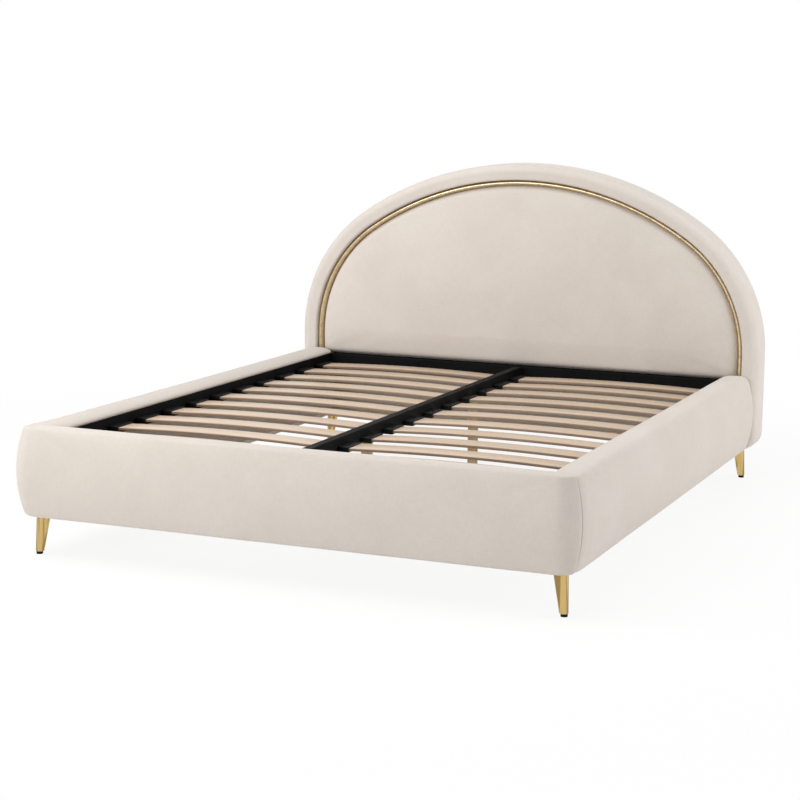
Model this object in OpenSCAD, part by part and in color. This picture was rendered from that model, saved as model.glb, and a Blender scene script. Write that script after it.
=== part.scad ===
// Upholstered double bed with an arched, padded headboard and a slatted steel base.
// X runs across the bed, Y from the foot end to the headboard, Z up.
// The origin is on the floor, at the centre of the bed's outline.

/* [Mattress space] */
// Clear width between the two side pads
space_w = 1608; // [1500:1:1708]
// Clear length from the foot pad to the headboard's roll
space_l = 1996; // [1900:1:2100]

/* [Side and foot pads] */
// Height of the pads' underside above the floor
leg_h = 126; // [100:1:150]
// Height of a pad
pad_h = 282; // [270:1:300]
// Thickness of a pad at its widest line
pad_t = 120; // [116:1:140]
// Radius of the bulged outer face
bulge_r = 450; // [400:1:700]
// Height of the widest line above the underside
bulge_up = 140; // [120:1:160]
// Radius of the rounded top
top_r = 52; // [44:1:54]
// Radius of the lower outer edge
low_r = 35; // [25:1:40]
// Radius of the lower inner edge
inner_low_r = 20; // [10:1:30]
// Radius of a front corner seen from above
corner_r = 80; // [76:1:90]
// Gap in the seams between the pads
seam = 0.4; // [0.3:0.1:1]

/* [Boards inside the pads] */
// Thickness of the rail and foot boards
board_t = 22; // [18:1:25]
// Height of the rail and foot boards
board_h = 225; // [215:1:228]
// Padding between a board and the mattress side
skin_t = 6; // [5:0.5:10]
// Padding under a board
under_t = 12; // [10:0.5:16]
// Width of a corner block across the bed
block_w = 46; // [36:1:48]
// Length of a corner block along the bed
block_l = 112; // [100:1:140]
// Height of a corner block
block_h = 192; // [150:1:200]
// Distance of a corner block from the widest line of the foot pad
block_in = 46; // [42:1:50]

/* [Headboard] */
// How far the headboard stands out past the side pads
head_over = 8; // [4:1:16]
// Height of the headboard above the floor
head_h = 1164; // [1140:1:1250]
// Depth of the headboard
head_t = 160; // [150:1:180]
// Height at which the straight sides turn into the arch
spring_h = 473; // [440:1:490]
// Rise of the crown above the tops of the two shoulder arcs
crown_lift = 107; // [90:1:140]
// Radius of the lower corners
foot_corner_r = 55; // [40:1:70]
// Radius of the roll round the edge
roll_r = 32; // [28:1:34]
// Thickness of the padding on the edge
wrap_t = 36; // [30:1:36]
// How far the side pads sink into the roll
sink = 20; // [10:1:24]
// Depth from the roll's crown to the panel board
ply_set = 50; // [46:1:56]
// Thickness of the panel board
ply_t = 18; // [15:1:21]
// Thickness of the back cover
cover_t = 3; // [2:0.5:6]
// Width of the rim and of its posts
rim_w = 40; // [30:1:45]
// Extra width of the two posts below the arch
post_extra = 41; // [35:1:60]
// Height of the post tops above the floor
post_top = 600; // [560:1:610]
// Height of a cross rail
cross_h = 60; // [40:1:80]
// Depth of a cross rail
cross_d = 30; // [20:1:40]
// Distance from the silhouette to the trim's centre line
trim_in = 73; // [70:1:80]
// Radius of the half-round trim
trim_r = 10; // [6:0.5:10]
// How far the trim runs down behind the side pads
trim_down = 78; // [40:1:100]
// Gap between the trim and the inner panel
panel_gap = 1; // [0.5:0.5:4]
// Gap between the steel base's top and the inner panel
panel_up = 2; // [1:0.5:6]
// Thickness of the inner panel at its edge
panel_edge = 10; // [6:1:16]
// Thickness of the inner panel at its crown
panel_crown = 40; // [30:1:45]
// Distance over which the inner panel rises to its crown
panel_run = 110; // [80:1:160]

/* [Steel base] */
// Distance of the base's top below the pads' tops
base_down = 24; // [20:1:40]
// Leg length of the side angles
angle_w = 45; // [40:1:50]
// Thickness of the angles
steel_t = 3; // [2:0.5:5]
// Depth of the head bar
head_bar_d = 50; // [40:1:50]
// Depth of the foot bar
foot_bar_d = 40; // [30:1:50]
// Width of the centre beam
beam_w = 30; // [30:1:50]
// Wall of the bars and of the centre beam
tube_wall = 2; // [1.5:0.5:3]

/* [Slats] */
// Number of slats in a row
slat_n = 11; // [8:1:12]
// Free length between an end slat's holder and the cross bar beside it
slat_margin = 57.7; // [20:0.1:120]
// Shift of the rows towards the headboard
slat_shift = 9; // [-15:1:15]
// Width of a slat
slat_w = 88; // [70:1:96]
// Thickness of a slat
slat_t = 9; // [8:0.5:12]
// Rise of a slat at its middle
slat_camber = 9; // [4:1:14]
// Distance from the steel to a slat's end
slat_end_in = 12; // [8:1:16]
// Length of a slat holder
holder_l = 35; // [30:1:45]
// Side wall of a slat holder
holder_side = 6; // [3:0.5:10]
// Floor of a slat holder
holder_floor = 2.2; // [1.5:0.1:4]
// Roof of a slat holder
holder_roof = 2.8; // [1.5:0.1:4]
// Play of a slat in its holder
slat_play = 0.3; // [0.2:0.1:1]

/* [Corner legs] */
// Diameter of a leg at its top
leg_top_d = 44; // [36:1:50]
// Diameter of a leg at the floor
leg_low_d = 25; // [22:1:30]
// Distance of the leg tops from the widest line of the side pads
leg_side_in = 79; // [76:1:84]
// Distance of the front leg tops from the widest line of the foot pad
leg_front_in = 85; // [80:1:92]
// Distance of the rear leg tops from the headboard's back
leg_rear_in = 34; // [34:1:44]
// Splay of a leg's foot across the bed
splay_x = 14; // [4:1:20]
// Splay of a leg's foot along the bed
splay_y = 5; // [2:1:10]
// Side of a leg plate
plate_w = 60; // [50:1:60]
// Thickness of a leg plate
plate_t = 4; // [3:0.5:6]
// Diameter of a foot cap
cap_d = 20.6; // [16:0.2:22]
// Height of a foot cap that shows under the leg
cap_h = 9; // [5:1:12]

/* [Centre legs] */
// Distance of the front centre leg from the middle of the base
centre_leg_front_y = 479; // [300:1:600]
// Distance of the rear centre leg from the middle of the base
centre_leg_rear_y = 490; // [300:1:600]
// Diameter of a centre leg
tube_d = 38; // [32:1:45]
// Wall of a centre leg
leg_wall = 1.5; // [1:0.5:3]
// Height of a centre leg's lower end above the floor
tube_up = 28; // [28:1:40]
// Height of the threaded plug in its lower end
plug_h = 20; // [16:1:30]
// Width of the top plate
top_plate_w = 50; // [46:1:70]
// Length of the top plate
top_plate_l = 80; // [60:1:100]
// Thickness of the top plate
top_plate_t = 4; // [3:0.5:6]
// Diameter of the levelling stem
stem_d = 10; // [8:1:12]
// Length of the levelling stem
stem_l = 67; // [60:1:80]
// Width of the stem's collar across its corners
collar_d = 20; // [16:1:24]
// Thickness of the collar
collar_h = 5; // [4:1:6]
// Diameter of the levelling pad
glide_d = 34; // [28:1:45]
// Height of the levelling pad
glide_h = 8; // [7:0.5:10]
// Radial play of the stem in its thread and in its pad
stem_play = 0.05; // [0.02:0.01:0.08]

/* [Brackets and bolts] */
// Length of a bracket's flange along its board
bracket_l = 80; // [50:1:100]
// Length of a bracket's short flange
bracket_s = 17; // [16:1:17]
// Height of a bracket
bracket_h = 140; // [80:1:160]
// Height of a bracket's lower end above its board's underside
bracket_up = 22; // [12:1:60]
// Thickness of a bracket
bracket_t = 3; // [2:0.5:4]
// Diameter of the frame bolts
bolt_d = 8; // [6:1:8]
// Diameter of their heads
head_d = 14; // [10:1:14]
// Height of their heads
bolt_head_h = 3.5; // [2:0.5:5]
// How far the side bolts reach into their boards
bolt_grip = 16; // [10:1:18]
// Diameter of the leg bolts
leg_bolt_d = 10; // [8:1:12]
// How far a leg bolt reaches into the timber
leg_bolt_up = 30; // [20:1:40]
// How far a leg bolt reaches into the leg
leg_bolt_down = 10; // [8:1:30]
// Radial play of the bolts in their holes
bolt_play = 0.1; // [0.05:0.05:0.5]

/* [Hidden] */

velvet = "#e6dfd3";
brass = "#c6a15c";
black = "#2b2b2d";
beech = "#e3cbb2";
pine = "#cfa878";
zinc = "#a9adb0";

// Amount by which a cutter runs past the face that it opens
cut = 1;
// Numbers of facets for small, middling and large rounds
fine = 48;
smooth = 96;
large = 360;
huge = 1440;

// The bed's outline and its main planes
length = pad_t + space_l + head_t;
x_in = space_w / 2;
x_out = x_in + pad_t;
y_foot = -length / 2;
y_in = y_foot + pad_t;
y_roll = y_in + space_l;
y_back = length / 2;
y_ply = y_roll + ply_set;
y_frame = y_ply + ply_t;
y_cover = y_back - cover_t;
y_pad_end = y_roll + sink;
pad_top = leg_h + pad_h;

// Centre of a rounded front corner
x_corner = x_out - corner_r;
y_corner = y_foot + corner_r;

// Rail and foot boards
z_board = leg_h + under_t;
x_board = x_in + skin_t;
x_board_out = x_board + board_t;
y_board = y_in - skin_t;
y_board_out = y_board - board_t;

// Section of a pad: circles that touch the bulge from inside
top_v = pad_h - top_r;
top_sin = (top_v - bulge_up) / (bulge_r - top_r);
top_u = pad_t - bulge_r + (bulge_r - top_r) * sqrt(1 - top_sin * top_sin);
low_sin = (low_r - bulge_up) / (bulge_r - low_r);
low_u = pad_t - bulge_r + (bulge_r - low_r) * sqrt(1 - low_sin * low_sin);
core_u = min(top_u, low_u);

// The arch: two shoulders and a crown arc that meets them without a corner
head_half = x_out + head_over;
rise = head_h - spring_h;
shoulder_r = rise - crown_lift;
shoulder_x = head_half - shoulder_r;
crown_drop = (shoulder_x * shoulder_x - crown_lift * crown_lift) / (2 * crown_lift);
crown_r = crown_drop + rise;
crown_z = spring_h - crown_drop;
shoulder_angle = atan2(crown_drop, shoulder_x);
trim_low = pad_top - trim_down;

// The steel base
z_base_top = pad_top - base_down;
z_base = z_base_top - angle_w;
z_seat = z_base + steel_t;
x_angle = x_in - steel_t;
bar_h = angle_w - steel_t;
y_foot_bar = y_in + foot_bar_d;
y_head_bar = y_ply - head_bar_d;
panel_low = z_base_top + panel_up;

// Slats: circular arcs between the side angle and the beam
slat_a = beam_w / 2 + slat_end_in;
slat_b = x_angle - slat_end_in;
slat_half = (slat_b - slat_a) / 2;
slat_mid = (slat_a + slat_b) / 2;
slat_r = (slat_half * slat_half + slat_camber * slat_camber) / (2 * slat_camber);
slat_angle = asin(slat_half / slat_r);
z_slat = z_seat + holder_floor + slat_play;
mouth_rise = (holder_l - slat_end_in) * slat_half / (slat_r - slat_camber);
slot_h = slat_t + mouth_rise + 3 * slat_play;
holder_h = holder_floor + slot_h + holder_roof;
holder_w = slat_w + 2 * (slat_play + holder_side);
end_play = 1;
slat_pitch = (y_head_bar - y_foot_bar - holder_w - 2 * slat_margin) / (slat_n - 1);

// Corner legs
leg_x = x_out - leg_side_in;
leg_front_y = y_foot + leg_front_in;
leg_rear_y = y_back - leg_rear_in;
z_plate = z_board - plate_t;
neck_play = 2.5;
spigot_d = cap_d * 0.6;
// Turn of a leg about its own axis, which keeps its seam out of the plane of the splay
seam_turn = 77;
// Length of a leg's cone above and below the planes that cut it
leg_over = 20;
spigot_h = 6;

// Centre legs, and the threaded rod in their lower ends
z_top_plate = z_base - top_plate_t;
stem_low = 3;
collar_up = 2;

// Slats after which a bolt passes through the side angles
side_bolt_rows = [1, 4, 7, 10];
z_side_bolt = z_seat + head_d / 2 + cut;
corner_bolt_up = 11;

function slat_y(i) = slat_shift + (i - (slat_n + 1) / 2) * slat_pitch;
function slat_gap_y(i) = slat_y(i) + slat_pitch / 2;

// Upright plate: an outline in X and Z, from y0 to y1
module upright(y0, y1) {
    translate([0, y1, 0])
        rotate([90, 0, 0])
            linear_extrude(y1 - y0)
                children();
}

// Section of a pad, outwards and upwards from its lower inner corner, grown by g
module pad_section(g = 0) {
    bulge_top = bulge_up + (bulge_r + g) * top_sin;
    bulge_low = bulge_up + (bulge_r + g) * low_sin;
    translate([top_u, top_v]) circle(top_r + g, $fn = smooth);
    translate([top_r, top_v]) circle(top_r + g, $fn = smooth);
    translate([low_u, low_r]) circle(low_r + g, $fn = smooth);
    translate([inner_low_r, inner_low_r]) circle(inner_low_r + g, $fn = smooth);
    translate([top_r, top_v]) square([top_u - top_r, top_r + g]);
    translate([-g, inner_low_r]) square([core_u + g, top_v - inner_low_r]);
    translate([inner_low_r, -g]) square([low_u - inner_low_r, low_r + g]);
    intersection() {
        translate([pad_t - bulge_r, bulge_up]) circle(bulge_r + g, $fn = large);
        translate([core_u, bulge_low]) square([pad_t, bulge_top - bulge_low]);
    }
}

// A side pad's section run from y0 to y1
module side_bar(y0, y1, g = 0) {
    translate([x_in, 0, leg_h]) upright(y0, y1) pad_section(g);
}

// A board from two opposite corners
module block(low, high) {
    translate(low) cube(high - low);
}

module both_sides() {
    children();
    mirror([1, 0, 0]) children();
}

// Outline of the headboard, set in from its silhouette and cut off at a lower end
module arch(inset, low) {
    half = head_half - inset;
    side_r = shoulder_r - inset;
    top_arc = crown_r - inset;
    meet = shoulder_x + side_r * cos(shoulder_angle);
    translate([-half, low]) square([2 * half, spring_h - low]);
    intersection() {
        translate([0, crown_z]) circle(top_arc, $fn = large);
        translate([-meet, spring_h]) square([2 * meet, rise]);
    }
    for (s = [0, 1]) mirror([s, 0]) intersection() {
        translate([shoulder_x, spring_h]) circle(side_r, $fn = large);
        translate([shoulder_x, spring_h]) square([half - shoulder_x, rise]);
    }
}

// A section swept round the arch, and down its sides to low.
// In the section, x is 0 at the silhouette and y grows towards the back.
module sweep_arch(low) {
    both_sides() {
        translate([head_half, 0, low]) linear_extrude(spring_h - low) children();
        translate([shoulder_x, 0, spring_h]) rotate([90, 0, 0])
            rotate_extrude(angle = shoulder_angle, start = 0, $fn = large)
                translate([shoulder_r, 0]) mirror([0, 1]) children();
    }
    translate([0, 0, crown_z]) rotate([90, 0, 0])
        rotate_extrude(angle = 180 - 2 * shoulder_angle, start = shoulder_angle, $fn = large)
            translate([crown_r, 0]) mirror([0, 1]) children();
}

// Cutters that several pieces share

module leg_pockets() {
    both_sides() for (y = [leg_front_y, leg_rear_y]) {
        translate([leg_x, y, leg_h - cut])
            cylinder(h = z_plate - leg_h + 2 * cut, r = leg_top_d / 2 + neck_play, $fn = fine);
        leg_plate(y);
    }
}

module leg_bolt_rods(grow) {
    both_sides() for (y = [leg_front_y, leg_rear_y])
        translate([leg_x, y, leg_h - leg_bolt_down])
            cylinder(
                h = leg_bolt_up + leg_bolt_down + under_t,
                r = leg_bolt_d / 2 + grow,
                $fn = fine
            );
}

module side_bolts(grow) {
    both_sides() for (i = side_bolt_rows) if (i < slat_n)
        translate([x_angle, slat_gap_y(i), z_side_bolt]) rotate([0, 90, 0]) bolt(
            steel_t + skin_t + bolt_grip,
            grow
        );
}

module bracket_bolts(grow) {
    both_sides() for (up = [1, 3])
        translate([
            x_board_out + bracket_s - head_d / 2,
            y_ply - bracket_t,
            z_board + bracket_up + up * bracket_h / 4
        ])
            rotate([-90, 0, 0]) bolt(bracket_t + bolt_grip, grow);
}

module corner_bolts(grow) {
    both_sides() for (y = [y_in + foot_bar_d / 2, y_ply - head_bar_d / 2])
        translate([x_in - angle_w / 2, y, z_base]) bolt(corner_bolt_up, grow);
}

// Bolt along +Z, with its head below the origin
module bolt(reach, grow) {
    translate([0, 0, -bolt_head_h]) cylinder(h = bolt_head_h, d = head_d, $fn = fine);
    cylinder(h = reach, r = bolt_d / 2 + grow, $fn = fine);
}

module leg_plate(y) {
    translate([leg_x - plate_w / 2, y - plate_w / 2, z_plate]) cube([plate_w, plate_w, plate_t]);
}

module corner_block() {
    block(
        [x_board_out, y_foot + block_in, z_board],
        [x_board_out + block_w, y_foot + block_in + block_l, z_board + block_h]
    );
}

module rail_board() {
    block([x_board, y_board, z_board], [x_board_out, y_ply, z_board + board_h]);
}

module foot_board_blank() {
    block([-x_board_out, y_board_out, z_board], [x_board_out, y_board, z_board + board_h]);
}

// Angle plate in the corner of the rail board and the foot board
module corner_bracket() {
    z = z_board + bracket_up;
    block([x_board - bracket_t, y_board, z], [x_board, y_board + bracket_l, z + bracket_h]);
    block([x_board - bracket_l, y_board, z], [x_board, y_board + bracket_t, z + bracket_h]);
}

// Angle plate that fastens a rail board to the headboard
module headboard_bracket() {
    z = z_board + bracket_up;
    block([x_board_out, y_ply - bracket_l, z], [x_board_out + bracket_t, y_ply, z + bracket_h]);
    block([x_board_out, y_ply - bracket_t, z], [x_board_out + bracket_s, y_ply, z + bracket_h]);
}

module pad_fillings() {
    both_sides() {
        rail_board();
        corner_block();
        corner_bracket();
        headboard_bracket();
    }
    foot_board_blank();
    leg_pockets();
    side_bolts(bolt_play);
}

// Headboard

module headboard_board() {
    color(pine) difference() {
        upright(y_ply, y_frame) arch(wrap_t, z_board);
        bracket_bolts(bolt_play);
    }
}

module headboard_posts() {
    inner = head_half - wrap_t - rim_w - post_extra;
    color(pine) difference() {
        union() {
            upright(y_frame, y_cover) intersection() {
                arch(wrap_t, z_board);
                for (s = [0, 1]) mirror([s, 0]) translate([inner, z_board])
                    square([head_half - inner, post_top - z_board]);
            }
            for (z = [z_board + board_h - cross_h, post_top - cross_h])
                block([-inner, y_frame, z], [inner, y_frame + cross_d, z + cross_h]);
        }
        leg_bolt_rods(bolt_play);
    }
}

module headboard_rim() {
    color(pine) upright(y_frame, y_cover) difference() {
        arch(wrap_t, post_top - cut);
        arch(wrap_t + rim_w, post_top - 2 * cut);
        translate([-head_half, 0]) square([2 * head_half, post_top]);
    }
}

module border_section() {
    intersection() {
        translate([-roll_r, roll_r]) circle(roll_r, $fn = smooth);
        union() {
            translate([-2 * roll_r, 0]) square([2 * roll_r, ply_set]);
            translate([-wrap_t, 0]) square([wrap_t, head_t]);
        }
    }
    translate([-wrap_t, roll_r]) square([wrap_t, head_t - roll_r - wrap_t]);
    intersection() {
        translate([-wrap_t, head_t - wrap_t]) circle(wrap_t, $fn = smooth);
        translate([-wrap_t, head_t - wrap_t]) square([wrap_t, wrap_t]);
    }
}

// Silhouette of the headboard with its two rounded lower corners
module silhouette() {
    difference() {
        arch(0, leg_h);
        for (s = [0, 1]) mirror([s, 0]) difference() {
            translate([head_half - foot_corner_r, leg_h - cut])
                square([foot_corner_r + cut, foot_corner_r + cut]);
            translate([head_half - foot_corner_r, leg_h + foot_corner_r])
                circle(foot_corner_r, $fn = smooth);
        }
    }
}

module headboard_border() {
    color(velvet) difference() {
        intersection() {
            union() {
                translate([0, y_roll, 0]) sweep_arch(leg_h) border_section();
                block([-head_half, y_ply, leg_h], [head_half, y_back, z_board]);
            }
            upright(y_roll - cut, y_back + cut) silhouette();
        }
        both_sides() side_bar(y_roll - cut, y_pad_end + seam, seam);
        leg_pockets();
        leg_bolt_rods(bolt_play);
    }
}

// Rings of the inner panel, each a step further in from its edge
panel_in = trim_in + trim_r + panel_gap;
panel_steps = [0, 0.03, 0.09, 0.2, 0.36, 0.6, 1];
shoulder_points = 14;
crown_points = 26;
bottom_points = 12;

function panel_depth(t) = panel_edge + (panel_crown - panel_edge) * sqrt(1 - pow(1 - t, 2));

function panel_ring(run, y) =
    let (
        inset = panel_in + run,
        low = panel_low + run,
        half = head_half - inset,
        r = shoulder_r - inset,
        top = crown_r - inset,
        turn = 180 - 2 * shoulder_angle
    )
    concat(
        [for (i = [0:bottom_points]) [half * (2 * i / bottom_points - 1), y, low]],
        [for (i = [0:shoulder_points - 1]) let (a = shoulder_angle * i / shoulder_points)
            [shoulder_x + r * cos(a), y, spring_h + r * sin(a)]],
        [for (i = [0:crown_points - 1]) let (a = shoulder_angle + turn * i / crown_points)
            [top * cos(a), y, crown_z + top * sin(a)]],
        [for (i = [0:shoulder_points]) let (a = shoulder_angle * (1 - i / shoulder_points))
            [-shoulder_x - r * cos(a), y, spring_h + r * sin(a)]]
    );

module headboard_panel() {
    rings = concat(
        [panel_ring(0, y_ply)],
        [for (t = panel_steps) panel_ring(t * panel_run, y_ply - panel_depth(t))]
    );
    n = len(rings[0]);
    last = len(rings) - 1;
    middle = (panel_low + head_h) / 2;
    color(velvet) polyhedron(
        points = concat(
            [for (ring = rings, p = ring) p],
            [[0, y_ply, middle], [0, y_ply - panel_crown, middle]]
        ),
        faces = [for (i = [0:n - 1]) let (j = (i + 1) % n) each concat(
            [[(last + 1) * n, i, j]],
            [for (k = [0:last - 1]) each [
                [k * n + j, k * n + i, (k + 1) * n + i],
                [k * n + j, (k + 1) * n + i, (k + 1) * n + j]
            ]],
            [[(last + 1) * n + 1, last * n + j, last * n + i]]
        )]
    );
}

module headboard_trim() {
    color(brass) translate([0, y_ply, 0]) sweep_arch(trim_low) intersection() {
        translate([-trim_in, 0]) circle(trim_r, $fn = fine);
        translate([-trim_in - trim_r, -trim_r]) square([2 * trim_r, trim_r]);
    }
}

module headboard_back_cover() {
    color(black) upright(y_cover, y_back) arch(wrap_t + seam, z_board + seam);
}

// Pads

module rail_pad() {
    color(velvet) difference() {
        intersection() {
            side_bar(y_corner + seam, y_pad_end);
            linear_extrude(pad_top + cut) polygon([
                [x_in - cut, y_in + seam + cut],
                [x_corner, y_corner + seam],
                [x_out + cut, y_corner + seam],
                [x_out + cut, y_pad_end + cut],
                [x_in - cut, y_pad_end + cut]
            ]);
        }
        pad_fillings();
    }
}

module footboard_pad() {
    reach = pad_t - corner_r;
    color(velvet) difference() {
        union() {
            intersection() {
                translate([-x_corner, y_in, leg_h]) rotate([90, 0, 90])
                    linear_extrude(2 * x_corner) mirror([1, 0]) pad_section();
                linear_extrude(pad_top + cut) polygon([
                    [-x_corner, y_foot - cut],
                    [x_corner, y_foot - cut],
                    [x_corner, y_corner],
                    [x_in - cut, y_in + cut],
                    [-x_in + cut, y_in + cut],
                    [-x_corner, y_corner]
                ]);
            }
            both_sides() translate([x_corner, y_corner, leg_h])
                rotate_extrude(angle = 90, start = -90, $fn = smooth)
                    intersection() {
                        translate([-reach, 0]) pad_section();
                        square([corner_r, pad_h]);
                    }
        }
        pad_fillings();
    }
}

// Timber inside the pads

module rail_board_drilled() {
    color(pine) difference() {
        rail_board();
        side_bolts(bolt_play);
    }
}

module foot_board() {
    color(pine) foot_board_blank();
}

module corner_blocks() {
    color(pine) difference() {
        both_sides() corner_block();
        leg_bolt_rods(bolt_play);
    }
}

// Brackets, plates and bolts

module corner_brackets() {
    color(zinc) both_sides() corner_bracket();
}

module headboard_brackets() {
    color(zinc) difference() {
        both_sides() headboard_bracket();
        bracket_bolts(bolt_play);
    }
}

module frame_bolts() {
    color(zinc) {
        side_bolts(0);
        bracket_bolts(0);
        corner_bolts(0);
    }
}

module leg_bolts() {
    color(zinc) leg_bolt_rods(0);
}

module leg_plates() {
    color(zinc) difference() {
        both_sides() for (y = [leg_front_y, leg_rear_y]) leg_plate(y);
        leg_bolt_rods(bolt_play);
    }
}

// Corner legs: splayed cones, flat where they meet the plate and the foot cap

module corner_leg(side, y, away) {
    foot = [side * (leg_x + splay_x), y + away * splay_y, 0];
    axis = [side * leg_x, y, leg_h] - foot;
    span = norm(axis);
    slope = (leg_top_d - leg_low_d) / span;
    color(brass) difference() {
        intersection() {
            translate(foot) rotate([0, acos(leg_h / span), atan2(axis[1], axis[0])])
                rotate([0, 0, seam_turn])
                    translate([0, 0, -leg_over]) cylinder(
                        h = span + 2 * leg_over,
                        d1 = leg_low_d - slope * leg_over,
                        d2 = leg_top_d + slope * leg_over,
                        $fn = smooth
                    );
            translate([foot[0] - leg_top_d, foot[1] - leg_top_d, cap_h])
                cube([2 * leg_top_d, 2 * leg_top_d, z_plate - cap_h]);
        }
        leg_bolt_rods(bolt_play);
        foot_cap(side, y, away, bolt_play);
    }
}

module foot_cap(side, y, away, grow = 0) {
    translate([side * (leg_x + splay_x), y + away * splay_y, 0]) {
        cylinder(h = cap_h, d = cap_d, $fn = fine);
        cylinder(h = cap_h + spigot_h, r = spigot_d / 2 + grow, $fn = fine);
    }
}

module foot_caps() {
    color(black) for (side = [-1, 1]) {
        foot_cap(side, leg_front_y, -1);
        foot_cap(side, leg_rear_y, 1);
    }
}

// Steel base

module side_angle() {
    color(black) difference() {
        union() {
            block([x_in - angle_w, y_in, z_base], [x_in, y_ply, z_seat]);
            block([x_angle, y_in, z_base], [x_in, y_ply, z_base_top]);
        }
        side_bolts(bolt_play);
        corner_bolts(bolt_play);
    }
}

// Square tube across the bed, resting on the side angles
module cross_bar(y, depth) {
    color(black) difference() {
        block([-x_angle, y, z_seat], [x_angle, y + depth, z_base_top]);
        block(
            [-x_angle - cut, y + tube_wall, z_seat + tube_wall],
            [x_angle + cut, y + depth - tube_wall, z_base_top - tube_wall]
        );
        corner_bolts(bolt_play);
    }
}

module centre_beam() {
    half = beam_w / 2;
    color(black) difference() {
        block([-half, y_foot_bar, z_base], [half, y_head_bar, z_base_top]);
        block(
            [-half + tube_wall, y_foot_bar - cut, z_base + tube_wall],
            [half - tube_wall, y_head_bar + cut, z_base_top - tube_wall]
        );
    }
}

// Slat holder, closed at x = 0 and open towards +x
module slat_holder() {
    slot_w = slat_w + 2 * slat_play;
    difference() {
        block([0, -holder_w / 2, 0], [holder_l, holder_w / 2, holder_h]);
        block(
            [slat_end_in - end_play, -slot_w / 2, holder_floor],
            [holder_l + cut, slot_w / 2, holder_floor + slot_h]
        );
    }
}

module slat_holders_side() {
    color(black) for (i = [1:slat_n])
        translate([x_angle, slat_y(i), z_seat]) mirror([1, 0, 0]) slat_holder();
}

module slat_holders_centre() {
    color(black) both_sides() for (i = [1:slat_n])
        translate([beam_w / 2, slat_y(i), z_seat]) slat_holder();
}

module slat(i) {
    color(beech) translate([slat_mid, slat_y(i), z_slat + slat_camber - slat_r])
        rotate([90, 0, 0])
            rotate_extrude(angle = 2 * slat_angle, start = 90 - slat_angle, $fn = huge)
                translate([slat_r, -slat_w / 2]) square([slat_t, slat_w]);
}

// Centre legs and their levelling feet

module centre_leg(y) {
    color(brass) translate([0, y, 0]) difference() {
        union() {
            translate([0, 0, tube_up]) cylinder(h = z_top_plate - tube_up, d = tube_d, $fn = smooth);
            translate([-top_plate_w / 2, -top_plate_l / 2, z_top_plate])
                cube([top_plate_w, top_plate_l, top_plate_t]);
        }
        translate([0, 0, tube_up + plug_h])
            cylinder(
                h = z_top_plate - tube_up - plug_h,
                d = tube_d - 2 * leg_wall,
                $fn = smooth
            );
        translate([0, 0, tube_up - cut])
            cylinder(h = plug_h + 2 * cut, r = stem_d / 2 + stem_play, $fn = fine);
    }
}

module levelling_stem(y) {
    color(zinc) translate([0, y, 0]) {
        translate([0, 0, stem_low + slat_play]) cylinder(h = stem_l, d = stem_d, $fn = fine);
        translate([0, 0, glide_h + collar_up]) cylinder(h = collar_h, d = collar_d, $fn = 6);
    }
}

module levelling_pad(y) {
    color(black) translate([0, y, 0]) difference() {
        cylinder(h = glide_h, d = glide_d, $fn = smooth);
        translate([0, 0, stem_low])
            cylinder(h = glide_h, r = stem_d / 2 + stem_play, $fn = fine);
    }
}

headboard_board();
headboard_posts();
headboard_rim();
headboard_border();
headboard_panel();
headboard_trim();
headboard_back_cover();
mirror([1, 0, 0]) rail_pad();  // rail_pad_left
rail_pad();  // rail_pad_right
footboard_pad();
mirror([1, 0, 0]) rail_board_drilled();  // rail_board_left
rail_board_drilled();  // rail_board_right
foot_board();
corner_blocks();
corner_brackets();
headboard_brackets();
frame_bolts();
leg_bolts();
leg_plates();
corner_leg(-1, leg_front_y, -1);  // leg_front_left
corner_leg(1, leg_front_y, -1);  // leg_front_right
corner_leg(-1, leg_rear_y, 1);  // leg_rear_left
corner_leg(1, leg_rear_y, 1);  // leg_rear_right
foot_caps();
mirror([1, 0, 0]) side_angle();  // side_angle_left
side_angle();  // side_angle_right
cross_bar(y_head_bar, head_bar_d);  // head_bar
cross_bar(y_in, foot_bar_d);  // foot_bar
centre_beam();
mirror([1, 0, 0]) slat_holders_side();  // slat_holders_left
slat_holders_side();  // slat_holders_right
slat_holders_centre();
centre_leg(-centre_leg_front_y);  // centre_leg_front
centre_leg(centre_leg_rear_y);  // centre_leg_rear
levelling_stem(-centre_leg_front_y);  // levelling_stem_front
levelling_stem(centre_leg_rear_y);  // levelling_stem_rear
levelling_pad(-centre_leg_front_y);  // levelling_pad_front
levelling_pad(centre_leg_rear_y);  // levelling_pad_rear
for (i = [1:slat_n]) {
    mirror([1, 0, 0]) slat(i);
    slat(i);
}
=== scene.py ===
"""Upholstered bed: its padding, metal, slats and finishes, with the floor, light and camera."""

import math

import bmesh
import bpy
import numpy as np
from mathutils import Matrix, Vector, kdtree, noise


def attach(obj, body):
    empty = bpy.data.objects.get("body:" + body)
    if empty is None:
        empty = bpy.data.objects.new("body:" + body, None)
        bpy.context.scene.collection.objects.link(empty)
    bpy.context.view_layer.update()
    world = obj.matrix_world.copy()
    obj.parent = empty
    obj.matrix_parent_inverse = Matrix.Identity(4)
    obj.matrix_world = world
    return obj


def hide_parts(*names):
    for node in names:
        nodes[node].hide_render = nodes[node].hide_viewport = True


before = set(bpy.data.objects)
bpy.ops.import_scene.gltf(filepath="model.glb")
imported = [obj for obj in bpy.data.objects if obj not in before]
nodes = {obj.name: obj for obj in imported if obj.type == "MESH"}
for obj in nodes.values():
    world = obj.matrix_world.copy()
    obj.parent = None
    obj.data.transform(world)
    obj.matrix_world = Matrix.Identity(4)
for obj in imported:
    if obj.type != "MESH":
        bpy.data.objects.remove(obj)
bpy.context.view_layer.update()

# Sizes of the bed, in metres: x across it, y towards the headboard, z up
SPACE_HALF = 0.804  # half the mattress space
Y_IN = -1.018  # inner face of the foot pad
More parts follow.
